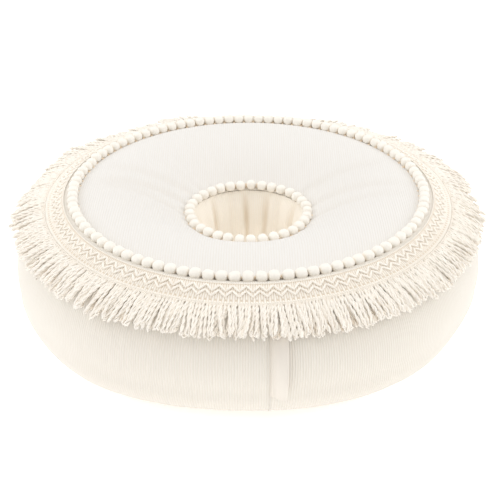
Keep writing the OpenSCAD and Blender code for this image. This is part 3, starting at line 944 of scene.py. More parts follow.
def dressed(grid, angles):
    """Adds the plan's flattening, the tucks at the base seam and the folds round the hole, and gives the
    shade painted in the folds, in the hole and along the foot of the side.
    """
    cover = bpy.context.scene.cushion_cover
    rng = np.random.default_rng(7)
    radius = np.hypot(grid[..., 0], grid[..., 1])
    height = grid[..., 2]
    rows = np.arange(ROWS)[None]
    turned = angles[:, None]
    off_front = around(turned, -math.pi / 2)
    side = ((rows > K_CREST) & (rows < K_BASE_SEAM + EDGE)).astype(float)

    # The front's foot is drawn in, and the quarters beside it are a little fuller
    foot = 1 - smoothstep(26 * MM, 112 * MM, height)
    front = np.exp(-((off_front / 0.42) ** 2))
    drawn = side * foot * cover.front_flat * front
    quarters = ((-0.68, 0.26, 3.5), (0.64, 0.20, -0.5), (1.05, 0.22, -4.0), (-1.2, 0.3, 1.0))
    for place, wide, amount in quarters:
        drawn -= side * foot * amount * MM * np.exp(-(((off_front - place) / wide) ** 2))

    zip_mask = smoothstep(9 * MM, 26 * MM, np.abs(height - ZIP_Z)) + (np.sin(turned) < 0.36)
    zip_mask = np.clip(zip_mask, 0, 1)
    push = np.zeros_like(radius)

    # Tucks above the base seam: narrow at the seam, spreading and fading up the side
    steps = np.linalg.norm(np.diff(grid[0], axis=0), axis=1)
    run = np.concatenate([[0], np.cumsum(steps)])
    up = run[K_BASE_SEAM] - run[None]
    places = np.linspace(0, TURN, 88, endpoint=False) + rng.normal(0, 0.022, 88)
    for place in places:
        tall = rng.uniform(20, 62) * MM
        wide = rng.uniform(2.6, 5.0) * MM
        deep = cover.pucker * rng.uniform(0.25, 1.0)
        lean = rng.normal(0, 0.5)
        fade = np.clip(1 - up / tall, 0, 1) ** 1.3 * (up > -6 * MM) * (rows > K_ZIP_BOTTOM)
        offset = around(turned, place) * BASE_SEAM[0] - lean * np.clip(up, 0, None)
        spread = wide * (1 + 1.5 * np.clip(up, 0, None) / tall)
        push -= deep * fade * np.exp(-((offset / spread) ** 2))
        push += 0.4 * deep * fade * np.exp(-(((offset - 2.1 * spread) / spread) ** 2))

    # Soft folds that run out from the hole over the top panel
    top = (rows <= K_TOP_SEAM).astype(float)
    for place in np.linspace(0, TURN, 26, endpoint=False) + rng.normal(0, 0.06, 26):
        far = rng.uniform(22, 66) * MM
        wide = rng.uniform(2.4, 4.6) * MM
        deep = cover.rim_fold * rng.uniform(0.2, 1.0) * (0.35 + 0.65 * abs(math.cos(place)))
        lean = rng.normal(0, 0.25)
        past = radius - INNER_BALL[0]
        fade = np.clip(1 - past / far, 0, 1) ** 1.2
        offset = around(turned, place) * radius - lean * past
        spread = wide * (1 + past / far)
        push -= top * deep * fade * np.exp(-((offset / spread) ** 2))
        push += top * 0.45 * deep * fade * np.exp(-(((offset + 2 * spread) / spread) ** 2))

    # Long soft folds across the top panel: place in degrees, lean and depth in millimetres
    long_folds = (
        (146, 0.5, 1.5),
        (163, 0.35, 1.8),
        (186, -0.2, 1.3),
        (12, -0.3, 1.5),
        (-14, 0.2, 1.2),
        (38, -0.5, 1.2),
    )
    for place, lean, deep in long_folds:
        past = radius - INNER_BALL[0]
        fade = smoothstep(-2 * MM, 20 * MM, past) * (1 - smoothstep(70 * MM, 118 * MM, past))
        offset = around(turned, math.radians(place)) * radius - lean * past
        push -= top * deep * MM * fade * np.exp(-((offset / (5 * MM + 0.06 * past)) ** 2))

    # Upright folds of the sleeve, the strongest at the back and on the left
    tube = (rows > K_SLEEVE_FOOT).astype(float)
    strong = [(92, 1.0), (70, 0.9), (133, 0.85), (32, 0.8), (160, 0.5), (112, 0.3), (52, 0.3)]
    folds = [(math.radians(a), s) for a, s in strong]
    folds += [(a, rng.uniform(0.2, 0.6)) for a in rng.uniform(math.pi, TURN, 9)]
    part = np.clip((rows - K_SLEEVE_FOOT) / (ROWS - K_SLEEVE_FOOT), 0, 1)
    for place, strength in folds:
        lean = rng.normal(0, 5) * MM
        offset = around(turned, place) * INNER_BALL[0] - lean * (part - 0.5)
        wide = rng.uniform(3.6, 5.0) * MM
        fade = np.sin(math.pi * np.clip(part, 0, 1)) ** 1.2
        push -= tube * strength * cover.sleeve_fold * fade * np.exp(-((offset / wide) ** 2))
        beside = np.exp(-(((offset - 2.4 * wide) / (1.5 * wide)) ** 2))
        push += tube * 0.5 * strength * cover.sleeve_fold * fade * beside

    # Painted shade: deep in the tucks and folds, towards the bottom of the hole, and along the foot of the
    # side near the floor.
    within = tube * smoothstep(0.0, 0.3, np.sin(math.pi * part))
    depth = np.clip(-push / (2.2 * MM), 0, 1) * (0.22 * side + 0.12 * top)
    depth += within * np.clip(-push / cover.sleeve_fold, 0, 1) ** 1.5 * 0.75
    depth += within * 0.08 * (1 - part)
    depth += side * 0.55 * (1 - smoothstep(6 * MM, 26 * MM, height))
    grid = grid + outward(grid) * (push * zip_mask)[..., None]
    grid[..., :2] -= (drawn / np.maximum(radius, 1e-6))[..., None] * grid[..., :2]
    base = (rows >= K_BASE_SEAM + EDGE) & (rows <= K_BASE_SEAM + EDGE + FLAT)
    grid[..., 2] = np.where(base, 0, np.maximum(grid[..., 2], 0.15 * MM))
    return grid, np.clip(depth, 0, 1)


def cut_panel(form, name, keep_rows, keep_columns=None):
    """Copies the form and keeps only the faces of one panel, by their rows and columns."""
    panel = form.copy()
    panel.data = form.data.copy()
    panel.name = panel.data.name = name
    bpy.context.scene.collection.objects.link(panel)
    activate(panel)
    row, column = numbers(panel, "row"), numbers(panel, "column")
    sizes = np.empty(len(panel.data.polygons), np.int32)
    panel.data.polygons.foreach_get("loop_total", sizes)
    corners = corner_vertices(panel).reshape(-1, 4)
    rows, columns = row[corners], column[corners]
    rows = np.where((rows.max(1, keepdims=True) - rows > ROWS / 2), rows + ROWS, rows)
    columns = np.where((columns.max(1, keepdims=True) - columns > COLUMNS / 2), columns + COLUMNS, columns)
    middle_row, middle_column = rows.mean(1), columns.mean(1)
    keep = (middle_row > keep_rows[0]) & (middle_row < keep_rows[1])
    if keep_columns:
        keep &= (middle_column > keep_columns[0]) & (middle_column < keep_columns[1])
    bpy.ops.object.mode_set(mode="EDIT")
    bpy.ops.mesh.select_all(action="DESELECT")
    bpy.ops.object.mode_set(mode="OBJECT")
    panel.data.polygons.foreach_set("select", ~keep)
    bpy.ops.object.mode_set(mode="EDIT")
    bpy.ops.mesh.select_mode(type="FACE")
    bpy.ops.mesh.delete(type="FACE")
    bpy.ops.object.mode_set(mode="OBJECT")
    return panel


def border_vertices(piece):
    """Which vertices lie on an open edge."""
    edges = np.empty(len(piece.data.edges) * 2, np.int32)
    piece.data.edges.foreach_get("vertices", edges)
    loops = np.empty(len(piece.data.loops), np.int32)
    piece.data.loops.foreach_get("edge_index", loops)
    uses = np.bincount(loops, minlength=len(piece.data.edges))
    found = np.zeros(len(piece.data.vertices), bool)
    found[edges.reshape(-1, 2)[uses == 1].ravel()] = True
    return found


def vertex_normals(piece):
    """Unit normals of the piece's vertices."""
    found = np.empty(len(piece.data.vertices) * 3, np.float32)
    piece.data.vertex_normals.foreach_get("vector", found)
    return found.reshape(-1, 3)


def weave_map(piece, style):
    """Writes the map that the cloth's ribs follow: round the side, or straight from front to back."""
    corners = corner_vertices(piece)
    if style == "straight":
        uv = np.column_stack([numbers(piece, "flat_x")[corners], numbers(piece, "flat_y")[corners]])
    else:
        co = points_of(piece)
        turned = ((np.arctan2(co[:, 1], co[:, 0]) - FRONT_JOIN) % TURN / TURN)[corners]
        sizes = np.empty(len(piece.data.polygons), np.int32)
        piece.data.polygons.foreach_get("loop_total", sizes)
        face = np.repeat(np.arange(len(sizes)), sizes)
        highest = np.zeros(len(sizes))
        np.maximum.at(highest, face, turned)
        turned = np.where(highest[face] - turned > 0.5, turned + 1, turned)
        pitch = bpy.context.scene.cushion_cover.rib_pitch
        ribs = round(TURN * (SIDE_R if style == "side" else INNER_BALL[0]) / pitch)
        uv = np.column_stack([turned * ribs * pitch, numbers(piece, "run")[corners]])
    write_map(piece, uv)


def sewn(panel, style, thickness, sink):
    """Turns a panel's edges in at its seams, maps its weave and gives the cloth its thickness."""
    activate(panel)
    bpy.ops.object.mode_set(mode="EDIT")
    bpy.ops.mesh.select_all(action="SELECT")
    bpy.ops.mesh.inset(thickness=1.1 * MM, use_boundary=True)
    bpy.ops.object.mode_set(mode="OBJECT")
    border = border_vertices(panel)
    co, normals = points_of(panel), vertex_normals(panel)
    move = np.where(border, -sink, 0.0)
    if style == "side":
        turned = np.arctan2(co[:, 1], co[:, 0])
        for column in (0, BACK_FROM, BACK_TO):
            join = FRONT_JOIN + TURN * column / COLUMNS
            aside = np.abs(around(turned, join)) * SIDE_R
            level = (co[:, 2] > BASE_SEAM[1] + 6 * MM) & (aside < 2.2 * MM)
            move = np.where(level & border, 0.5 * MM, np.where(level, -0.5 * MM, move))
    set_points(panel, co + move[:, None] * normals)
    weave_map(panel, style)
    modify(panel, "SOLIDIFY", thickness=thickness, offset=-1, use_even_offset=False)
    return smooth(panel)


def onto_inner(panel):
    """Moves a layer onto the smoother form that leaves room for the sleeve's folds."""
    set_points(panel, np.column_stack([numbers(panel, "inner_" + key) for key in "xyz"]))


def sunk_layer(panel, style, depth, thickness):
    """Lowers a layer of cloth inside the cover and gives it its thickness."""
    co = points_of(panel)
    set_points(panel, co - depth * vertex_normals(panel))
    weave_map(panel, style)
    modify(panel, "SOLIDIFY", thickness=thickness, offset=-1)
    return smooth(panel)


BACK_FROM = round(math.radians(111.3) / TURN * COLUMNS)
BACK_TO = round(math.radians(239.3) / TURN * COLUMNS)
FORM = "cover_form"


def cover_form():
    """The filled form that every layer of cloth is cut from, with its rows and columns marked."""
    meridian = Meridian()
    form = ring(FORM, meridian.rows, COLUMNS)
    rows, columns, index = grid_of(form, meridian)
    flat = points_of(form)
    grid = flat[index]
    grid = filled_out(form, index)
    angles = FRONT_JOIN + TURN * np.arange(COLUMNS) / COLUMNS
    grid, painted_fold_shade = dressed(grid, angles)
    co = np.empty_like(flat)
    co[index] = grid
    set_points(form, co)
    # The depth attribute carries the painted shade of the folds, the hole and the foot of the side.
    depth = np.zeros(len(flat))
    depth[index] = painted_fold_shade
    numbers(form, "depth", depth)
    inner = smoothed(grid, 2)
    tube = meridian.rows[K_SLEEVE_FOOT:]
    room = SLEEVE_ROOM * np.sin(math.pi * np.linspace(0, 1, len(tube))) ** 0.5
    inner[:, K_SLEEVE_FOOT:] = polar((tube[:, 0] + room)[None], angles[:, None], tube[None, :, 1])
    for axis, key in enumerate("xyz"):
        values = np.zeros(len(flat))
        values[index] = inner[..., axis]
        numbers(form, "inner_" + key, values)
    numbers(form, "row", rows)
    numbers(form, "column", columns)
    numbers(form, "run", meridian.run[rows])
    numbers(form, "flat_x", flat[:, 0])
    numbers(form, "flat_y", flat[:, 1])
    return form


def sewn_panel(form, name, rows, style, cloth, columns=None):
    """One panel of the cover, finished and placed."""
    cover = bpy.context.scene.cushion_cover
    panel = sewn(cut_panel(form, name, rows, columns), style, cover.cloth, cover.seam_sink)
    return place(panel, material(cloth), [name])


class CUSHION_OT_cover(bpy.types.Operator):
    """Makes the filled cover and cuts it at its seams into panels."""

    bl_idname = "cushion.cover"
    bl_label = "Make the Cover"

    def execute(self, context):
        form = cover_form()
        side = (K_TOP_SEAM, K_BASE_SEAM)
        sewn_panel(form, "top_panel", (0, K_TOP_SEAM), "straight", "top_cotton")
        sewn_panel(form, "band_left", side, "side", "ribbed_cotton", (BACK_TO, COLUMNS))
        sewn_panel(form, "band_right", side, "side", "ribbed_cotton", (0, BACK_FROM))
        back = (BACK_FROM, BACK_TO)
        sewn_panel(form, "band_back_upper", (K_TOP_SEAM, K_ZIP_TOP), "side", "ribbed_cotton", back)
        sewn_panel(form, "band_back_lower", (K_ZIP_BOTTOM, K_BASE_SEAM), "side", "ribbed_cotton", back)
        sewn_panel(form, "base_panel", (K_BASE_SEAM, K_SLEEVE_FOOT), "straight", "base_cotton")
        sewn_panel(form, "hole_sleeve", (K_SLEEVE_FOOT, ROWS), "sleeve", "sleeve_cotton")
        return {"FINISHED"}


class CUSHION_OT_inside(bpy.types.Operator):
    """Makes the seam allowances, the lining and the filling inside the cover."""

    bl_idname = "cushion.inside"
    bl_label = "Make the Inside"

    def execute(self, context):
        form = bpy.data.objects[FORM]
        cloth = context.scene.cushion_cover.cloth
        turned_in = [
            ("top_seam_allowance", (K_TOP_SEAM - 3, K_TOP_SEAM + 4), None, "ribbed_cotton"),
            ("base_seam_allowance", (K_BASE_SEAM - 3, K_BASE_SEAM + 2), None, "base_cotton"),
            ("sleeve_seam_allowance", (K_SLEEVE_FOOT - 2, K_SLEEVE_FOOT + 4), None, "base_cotton"),
            ("front_join_allowance", (K_CREST + 2, K_BASE_SEAM - 4), (COLUMNS - 3, COLUMNS), "ribbed_cotton"),
        ]
        for name, rows, columns, finish in turned_in:
            strip = cut_panel(form, name, rows, columns)
            sunk_layer(strip, "side", cloth + PLY_GAP, ALLOWANCE_T)
            place(strip, material(finish), [name])
        rim = joined(
            "rim_seam_allowance",
            [cut_panel(form, "rim_in", (0, 4)), cut_panel(form, "rim_down", (ROWS - 4, ROWS))],
        )
        sunk_layer(rim, "side", cloth + PLY_GAP, ALLOWANCE_T)
        place(rim, material("ribbed_cotton"), ["rim_seam_allowance"])
        tall = (K_CREST + 2, K_BASE_SEAM - 4)
        joins = [cut_panel(form, "join", tall, (at - 2, at + 2)) for at in (BACK_FROM - 4, BACK_TO + 4)]
        back = joined("back_join_allowances", joins)
        sunk_layer(back, "side", cloth + PLY_GAP, ALLOWANCE_T)
        place(back, material("ribbed_cotton"), ["back_join_allowances"])

        linings = [
            ("liner_top", (0, K_TOP_SEAM), "straight"),
            ("liner_wall", (K_TOP_SEAM, K_BASE_SEAM), "side"),
            ("liner_base", (K_BASE_SEAM, K_SLEEVE_FOOT), "straight"),
            ("liner_sleeve", (K_SLEEVE_FOOT, ROWS), "sleeve"),
        ]
        for name, rows, style in linings:
            layer = cut_panel(form, name, rows)
            onto_inner(layer)
            modify(layer, "DECIMATE", ratio=0.35)
            sunk_layer(layer, style, LINING_DEPTH, LINING_T)
            place(layer, material("lining_cotton"), [name])

        filling = form
        filling.name = filling.data.name = "fibre_filling"
        onto_inner(filling)
        modify(filling, "DECIMATE", ratio=0.4)
        co = points_of(filling)
        set_points(filling, co - FILLING_DEPTH * vertex_normals(filling))
        weave_map(filling, "straight")
        smooth(filling)
        place(filling, material("fibre_fill"), ["fibre_filling"])
        return {"FINISHED"}


# Ball trim ---------------------------------------------------------------------------------------------


def felt_ball(seed, wide):
    """One felt ball: a rounded, slightly boxy ball with an uneven surface, centred on the origin."""
    trim = bpy.context.scene.cushion_trim
    deselect()
    bpy.ops.mesh.primitive_ico_sphere_add(subdivisions=3, radius=1)
    ball = bpy.context.object
    rng = np.random.default_rng(seed)
    co = points_of(ball)
    boxy = (np.abs(co) ** 2.5).sum(1, keepdims=True) ** (1 / 2.5)
    co = co / boxy
    waves = rng.normal(0, 3.2, (6, 3))
    phase = rng.uniform(0, TURN, 6)
    uneven = np.sin(co @ waves.T + phase).sum(1, keepdims=True)
    co = co * (1 + 0.012 * uneven)
    co = co * np.array([11.2 * MM, wide, trim.ball_tall]) / 2
    set_points(ball, co)
    bpy.ops.object.shade_smooth()
    return ball


def ball_ring(name, braid_name, centre, seed, inner_side):
    """A ring of balls on their braid, with the short threads that tie them to the cloth."""
    trim = bpy.context.scene.cushion_trim
    meridian = Meridian()
    rng = np.random.default_rng(seed)
    number = round(TURN * centre[0] / trim.ball_pitch)
    wide = trim.small_wide if inner_side is False else trim.ball_wide
    models = [felt_ball(seed + k, wide) for k in range(4)]
    balls = []
    for k in range(number):
        model = models[k % 4]
        ball = model.copy()
        ball.data = model.data.copy()
        bpy.context.scene.collection.objects.link(ball)
        angle = TURN * k / number + rng.normal(0, 0.25 * MM) / centre[0]
        radius = centre[0] + rng.normal(0, 0.22 * MM)
        rise = centre[1] + rng.normal(0, 0.2 * MM)
        tilt = Matrix.Rotation(rng.normal(0, 0.12), 4, "X") @ Matrix.Rotation(rng.normal(0, 0.12), 4, "Y")
        size = Matrix.Diagonal((*(1 + rng.normal(0, 0.02, 3)), 1))
        move = Matrix.Rotation(angle, 4, "Z") @ Matrix.Translation((radius, 0, rise)) @ tilt @ size
        ball.data.transform(move)
        balls.append(ball)
    for model in models:
        bpy.data.objects.remove(model)
    wool = joined(name, balls)
    co = points_of(wool)
    # Painted shade on the lower part of each ball and where it meets its neighbours.
    aside = np.abs(((np.arctan2(co[:, 1], co[:, 0]) / TURN * number + 0.5) % 1) - 0.5) * 2
    low_part = 1 - smoothstep(centre[1] - 4.6 * MM, centre[1] - 0.5 * MM, co[:, 2])
    depth = 0.55 * low_part * (0.3 + 0.7 * aside) + 0.5 * smoothstep(0.8, 1.0, aside)
    numbers(wool, "depth", np.clip(depth, 0, 1))
    place(wool, material("felt_wool"), [name])

    seam = centre - [0, 5.0 * MM]
    turns = round(TURN * centre[0] / (4 * MM))
    plies = two_ply(seam, turns, 0.55 * trim.ply)
    braid = cords(braid_name, plies, trim.ply / 2, closed=True, sides=4)
    threads = []
    for k in range(number):
        angle = TURN * (k + 0.5) / number
        reach = (6.6 + rng.normal(0, 0.4)) * MM * (-1 if inner_side else 1)
        away = np.linspace(0, 1, 7)
        radii = seam[0] + away * reach
        rise = meridian.top_height(radii) + 0.35 * MM + 2.2 * MM * (1 - away) ** 2 - 0.9 * MM * away**6
        for side in (-1, 0, 1):
            spread = side * (1.25 - 0.5 * away) * MM / centre[0]
            threads.append(polar(radii, angle + spread + away * rng.normal(0, 0.3 * MM) / centre[0], rise))
    place(braid, material("trim_thread"), [braid_name])
    # The ties are darker than the braid as painted shade between the balls.
    ties = cords(braid_name, threads, 0.5 * MM, sides=4)
    place(ties, material("tie_thread"), [braid_name])
    ties.name = ties.data.name = braid_name + "_ties"


class CUSHION_OT_balls(bpy.types.Operator):
    """Makes the two rings of felt balls and their braids."""

    bl_idname = "cushion.balls"
    bl_label = "Make the Ball Trim"

    def execute(self, context):
        ball_ring("outer_pompoms", "outer_pompom_braid", OUTER_BALL - [0, 0.4 * MM], 11, True)
        ball_ring("inner_pompoms", "inner_pompom_braid", INNER_BALL - [0, 0.8 * MM], 23, False)
        return {"FINISHED"}


# Fringe ------------------------------------------------------------------------------------------------


def header_strip(meridian):
    """The woven header: fine cords across it, a row of small holes, and a turned edge."""
    fringe = bpy.context.scene.cushion_fringe
    across = np.linspace(0, fringe.header_w, 26)
    top = meridian.on_header(across, np.full(26, 1.2 * MM))
    under = meridian.on_header(across[::-8], np.full(4, 0.2 * MM))
    steps = 2280
    strip = ring("fringe_header", np.concatenate([top, under]), steps)
    co = points_of(strip)
    radius, angle = np.hypot(co[:, 0], co[:, 1]), np.arctan2(co[:, 1], co[:, 0])
    flat = np.column_stack([radius, co[:, 2]]) - meridian.crest
    distance, height = flat @ meridian.slope_out, flat @ meridian.slope_up
    upper = height > 0.7 * MM
    step = np.rint(around(angle, FRONT_JOIN) / TURN * steps)
    rib = np.cos(step * TURN / 4)
    lift = 0.45 * MM * rib * upper
    hole_row = np.exp(-(((distance - 0.83 * fringe.header_w) / (0.9 * MM)) ** 2))
    hole = np.clip(np.cos(step * TURN / 8), 0, 1) ** 3
    lift -= 1.5 * MM * hole_row * hole * upper
    rope = np.exp(-(((distance - 0.955 * fringe.header_w) / (0.7 * MM)) ** 2))
    lift += 0.5 * MM * rope * upper
    start_rope = np.exp(-(((distance - 0.03 * fringe.header_w) / (0.7 * MM)) ** 2))
    lift += 0.4 * MM * start_rope * upper
    # Painted shade in the small holes and grooves between the cords, and a painted shadow line just below the
    # first cord.
    shade = np.clip(-0.1 - lift / (0.45 * MM), 0, 1) * 0.85
    shade += 0.7 * np.exp(-(((distance - 0.09 * fringe.header_w) / (0.5 * MM)) ** 2))
    numbers(strip, "depth", np.clip(shade, 0, 1) * upper)
    move = lift[:, None] * meridian.slope_up
    radius = radius + move[:, 0]
    set_points(strip, polar(radius, angle, co[:, 2] + move[:, 1]))
    return smooth(strip)


def zigzag_row(name, meridian, middle):
    """One row of raised cords in zigzags, each tucked under the next."""
    fringe = bpy.context.scene.cushion_fringe
    stitches = []
    t = np.linspace(-0.08, 1.08, 9)
    for k in range(2 * fringe.zigzags):
        rising = k % 2 == 0
        across = (t - 0.5) * fringe.zigzag_h * (-1 if rising else 1)
        arch = np.sin(math.pi * np.clip(t, 0, 1)) * 0.5
        lap = np.where(t > 0.5, 0.35, -0.35) * np.abs(2 * t - 1) ** 2
        height = (1.7 + arch + lap) * MM
        section = meridian.on_header(middle + across, height)
        angle = FRONT_JOIN + TURN * (k + t) / (2 * fringe.zigzags)
        thick = 1 - 0.45 * np.abs(2 * t - 1) ** 4
        stitches.append(np.column_stack([polar(section[:, 0], angle, section[:, 1]), thick]))
    row = cords(name, stitches, fringe.zigzag_d / 2, sides=6)
    # Painted shade on the low sides of the cords, close to the header's cloth.
    co = points_of(row)
    flat = np.column_stack([np.hypot(co[:, 0], co[:, 1]), co[:, 2]]) - meridian.crest
    numbers(row, "depth", 0.75 * (1 - smoothstep(0.4 * MM, 2.0 * MM, flat @ meridian.slope_up)))
    return row


def heading_cord(meridian):
    """The narrow two-ply cord at the foot of the header."""
    fringe = bpy.context.scene.cushion_fringe
    centre = meridian.on_header(fringe.header_w + 1.0 * MM, 1.5 * MM)
    turns = 330
    return cords("fringe_heading_cord", two_ply(centre, turns, 0.5 * MM), 0.62 * MM, closed=True, sides=4)


def sway(strands, rng, length_scale):
    """A smooth random number for each strand, alike for neighbours."""
    number = max(3, round(strands / length_scale))
    anchors = rng.normal(0, 1, number)
    at = np.arange(strands) / strands * number
    first = np.floor(at).astype(int)
    part = at - first
    part = part * part * (3 - 2 * part)
    return anchors[first % number] * (1 - part) + anchors[(first + 1) % number] * part


def strand_path(root, angle, reach, side, lift, phase, settings):
    """The route of one two-ply strand: down one ply, round the loop at its tip and back up the other."""
    steps = 26
    t = np.linspace(0, 1, steps)
    loop_open = 0.58 + (settings["open"] - 0.58) * smoothstep(0.78, 0.95, t)
    round_tip = np.sqrt(np.clip(1 - ((t - 0.95) / 0.05) ** 2, 0, 1))
    loop_open = np.where(t > 0.95, loop_open * round_tip, loop_open)
    droop = np.radians(settings["droop"] * (0.75 + 0.5 * t))
    ahead = np.concatenate([[0], np.cumsum(reach / (steps - 1) * np.cos(droop[1:]))])
    fall = np.concatenate([[0], np.cumsum(reach / (steps - 1) * np.sin(droop[1:]))])
    aside = side * t**1.5 + settings["curl"] * t**4 + settings["wave"] * np.sin(settings["waves"] * t) * t
    rise = lift * np.sin(math.pi * 0.75 * t)
    twist = phase + TURN * t * reach / settings["twist"]
    half = settings["ply"] * 0.5 * loop_open
    paths = []
    for sign in (1, -1):
        across = aside + sign * half * np.cos(twist)
        above = sign * half * np.sin(twist) * (1 - 0.5 * smoothstep(0.8, 1.0, t))
        radius = root[0] + ahead + above * 0.4
        height = root[1] + fall + rise + above * 0.92
        paths.append(polar(radius, angle + across / (root[0] + ahead), height))
    return np.concatenate([paths[0], paths[1][::-1]])


def clumps(number, rng):
    """How far each strand leans towards the middle of its clump, in strands."""
    lean = np.zeros(number)
    first = 0
    while first < number:
        size = int(rng.choice([1, 2, 3, 3, 4, 5, 6]))
        last = min(first + size, number)
        middle = (first + last - 1) / 2 + rng.normal(0, 0.35)
        pull = rng.uniform(0.15, 0.55)
        lean[first:last] = (middle - np.arange(first, last)) * pull
        first = last
    return lean


def fringe_strands(name, meridian, number, seed, steeper, shorter):
    """One layer of the fringe's twisted strands, with clumps, gaps and uneven tips."""
    fringe = bpy.context.scene.cushion_fringe
    rng = np.random.default_rng(seed)
    root = meridian.on_header(fringe.header_w + 0.4 * MM, 0.9 * MM)
    pitch = TURN * (root[0] + fringe.strand_l) / number
    drift = sway(number, rng, 15) * 2.6 * MM + clumps(number, rng) * pitch + rng.normal(0, 0.9 * MM, number)
    lengths = fringe.strand_l - shorter + sway(number, rng, 8) * 1.3 * MM + rng.normal(0, 1.3 * MM, number)
    tilt = sway(number, rng, 10) * 2.4 + rng.normal(0, 2.0, number)
    strands = []
    for k in range(number):
        angle = FRONT_JOIN + TURN * (k + rng.normal(0, 0.14)) / number
        at_back = smoothstep(0.1, 0.6, math.sin(angle)) * smoothstep(0.2, 0.6, abs(math.cos(angle)))
        settings = {
            "ply": fringe.ply,
            "twist": fringe.twist * rng.uniform(0.85, 1.25),
            "open": rng.uniform(0.8, 1.35),
            "droop": -23 - steeper + tilt[k] + 6 * float(at_back),
            "curl": rng.normal(0, 1.5 * MM),
            "wave": rng.normal(0, 0.7 * MM),
            "waves": rng.uniform(3, 7),
        }
        start = root + rng.normal(0, 0.25 * MM) * meridian.slope_up
        lift = (1.2 + rng.normal(0, 0.8)) * MM
        strands.append(strand_path(start, angle, lengths[k], drift[k], lift, rng.uniform(0, TURN), settings))
    piece = cords(name, strands, fringe.ply / 2, sides=4)
    # Painted shade on strands that hang low under the others near the header, and near their roots.
    co = points_of(piece)
    past = np.hypot(co[:, 0], co[:, 1]) - root[0]
    below = root[1] - past * math.tan(math.radians(22)) - co[:, 2]
    inner_part = 1 - smoothstep(22 * MM, 33 * MM, past)
    depth = 0.8 * inner_part * smoothstep(0.2 * MM, 4.0 * MM, below) + 0.3 * (1 - smoothstep(0, 5 * MM, past))
    numbers(piece, "depth", np.clip(depth, 0, 0.9))
    return piece


class CUSHION_OT_fringe(bpy.types.Operator):
    """Makes the fringe: its header, zigzag cords, heading cord and twisted strands."""

    bl_idname = "cushion.fringe"
    bl_label = "Make the Fringe"

    def execute(self, context):
        meridian = Meridian()
        fringe = context.scene.cushion_fringe
        thread = material("trim_thread")
        place(header_strip(meridian), thread, ["fringe_header"])
        first = 0.30 * fringe.header_w
        gap = 0.24 * fringe.header_w
        place(zigzag_row("fringe_zigzag_upper", meridian, first), thread, ["fringe_zigzag_upper"])
        place(zigzag_row("fringe_zigzag_lower", meridian, first + gap), thread, ["fringe_zigzag_lower"])
        place(heading_cord(meridian), thread, ["fringe_heading_cord"])
        cotton = material("fringe_cotton")
        over = fringe_strands("fringe_loops", meridian, fringe.strands, 41, 0, 0)
        place(over, cotton, ["fringe_loops"])
        under = fringe_strands("fringe_under", meridian, fringe.strands, 57, 4, 3.5 * MM)
        place(under, cotton, ["fringe_loops"])
        under.name = under.data.name = "fringe_loops_under"
        return {"FINISHED"}


# Label -------------------------------------------------------------------------------------------------


def wall_radius(angle, height):
    """The radius at which a ray from outside meets the side of the cushion."""
    aim = Vector((math.cos(angle), math.sin(angle), 0))
    for name in ("band_right_finished", "band_left_finished"):
        hit, place_hit, _, _ = bpy.data.objects[name].ray_cast(aim * 0.4 + Vector((0, 0, height)), -aim)
        if hit and place_hit.to_2d().length > 0.15:
            return place_hit.to_2d().length
    return SIDE_R


def label_tape():
    """The folded satin tape: two layers from the seam out to a soft fold, curved along the side."""
    settings = bpy.context.scene.cushion_label
    deselect()
    bpy.ops.mesh.primitive_grid_add(x_subdivisions=40, y_subdivisions=36, size=1)
    tape = bpy.context.object
    co = points_of(tape)
    path, up = (co[:, 0] + 0.5) * 2, co[:, 1] + 0.5
    height = LABEL_BOTTOM + 4 * MM + up * (LABEL_TOP - LABEL_BOTTOM + 3 * MM)
    heights = np.linspace(height.min() - MM, height.max() + MM, 24)
    wall = np.interp(height, heights, [wall_radius(FRONT_JOIN + 0.006, h) for h in heights])
    out = np.where(path < 1, path, 2 - path)
    fold = np.sqrt(np.clip(1 - ((out - 0.97) / 0.03) ** 2, 0, 1))
    gape = 0.5 * MM * np.where(out > 0.97, fold, 1) * (0.5 + 1.1 * smoothstep(0, 0.6, out))
    layer = np.where(path < 1, 1, -1) * gape
    flare = math.radians(settings.flare) * (0.75 + 0.5 * (1 - up)) * smoothstep(0.0, 0.35, out)
    across = out * settings.width
    curl = 1.0 * MM * np.sin(math.pi * out) * np.sin(2.2 * up + 0.4)
    ahead = across * np.cos(flare) - (layer + curl) * np.sin(flare)
    away = across * np.sin(flare) + (layer + curl) * np.cos(flare) + 0.9 * MM
    angle = FRONT_JOIN + np.maximum(ahead, 0) / SIDE_R
    near = np.array([wall_radius(a, h) for a, h in zip(angle, height)])
    clear = near * np.cos(angle - FRONT_JOIN) + (1.0 * MM + 0.4 * MM * np.sign(layer))
    radius = np.maximum(wall + away, clear)
    seam = Vector((math.cos(FRONT_JOIN), math.sin(FRONT_JOIN), 0))
    beside = np.array([-seam.y, seam.x, 0])
    co = radius[:, None] * np.array(seam) + ahead[:, None] * beside + height[:, None] * UP
    set_points(tape, co)
    write_map(tape, np.column_stack([path * settings.width, height])[corner_vertices(tape)])
    modify(tape, "SOLIDIFY", thickness=settings.tape, offset=0)
    tape.name = tape.data.name = "side_label"
    activate(tape)
    bpy.ops.object.shade_smooth_by_angle(angle=math.radians(40))
    return tape


class CUSHION_OT_label(bpy.types.Operator):
    """Makes the folded satin label in the front join."""

    bl_idname = "cushion.label"
    bl_label = "Make the Label"

    def execute(self, context):
        tape = place(label_tape(), material("label_satin"), ["side_label"], body=None)
        seam = np.array([math.cos(FRONT_JOIN), math.sin(FRONT_JOIN), 0]) * (SIDE_R + 1 * MM)
        beside = np.array([-math.sin(FRONT_JOIN), math.cos(FRONT_JOIN), 0])
        start = seam + [0, 0, FOLD["pos_m"][2]]
        tuple(start + 2.5 * MM * beside)
        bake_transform(tape)
        return {"FINISHED"}


# Zip ---------------------------------------------------------------------------------------------------


def zip_angles():
    """Where the zip's coil starts and ends round the cushion."""
    start = math.asin(low("zip_coil_upper").y / COIL_R)
    return start, math.pi - start


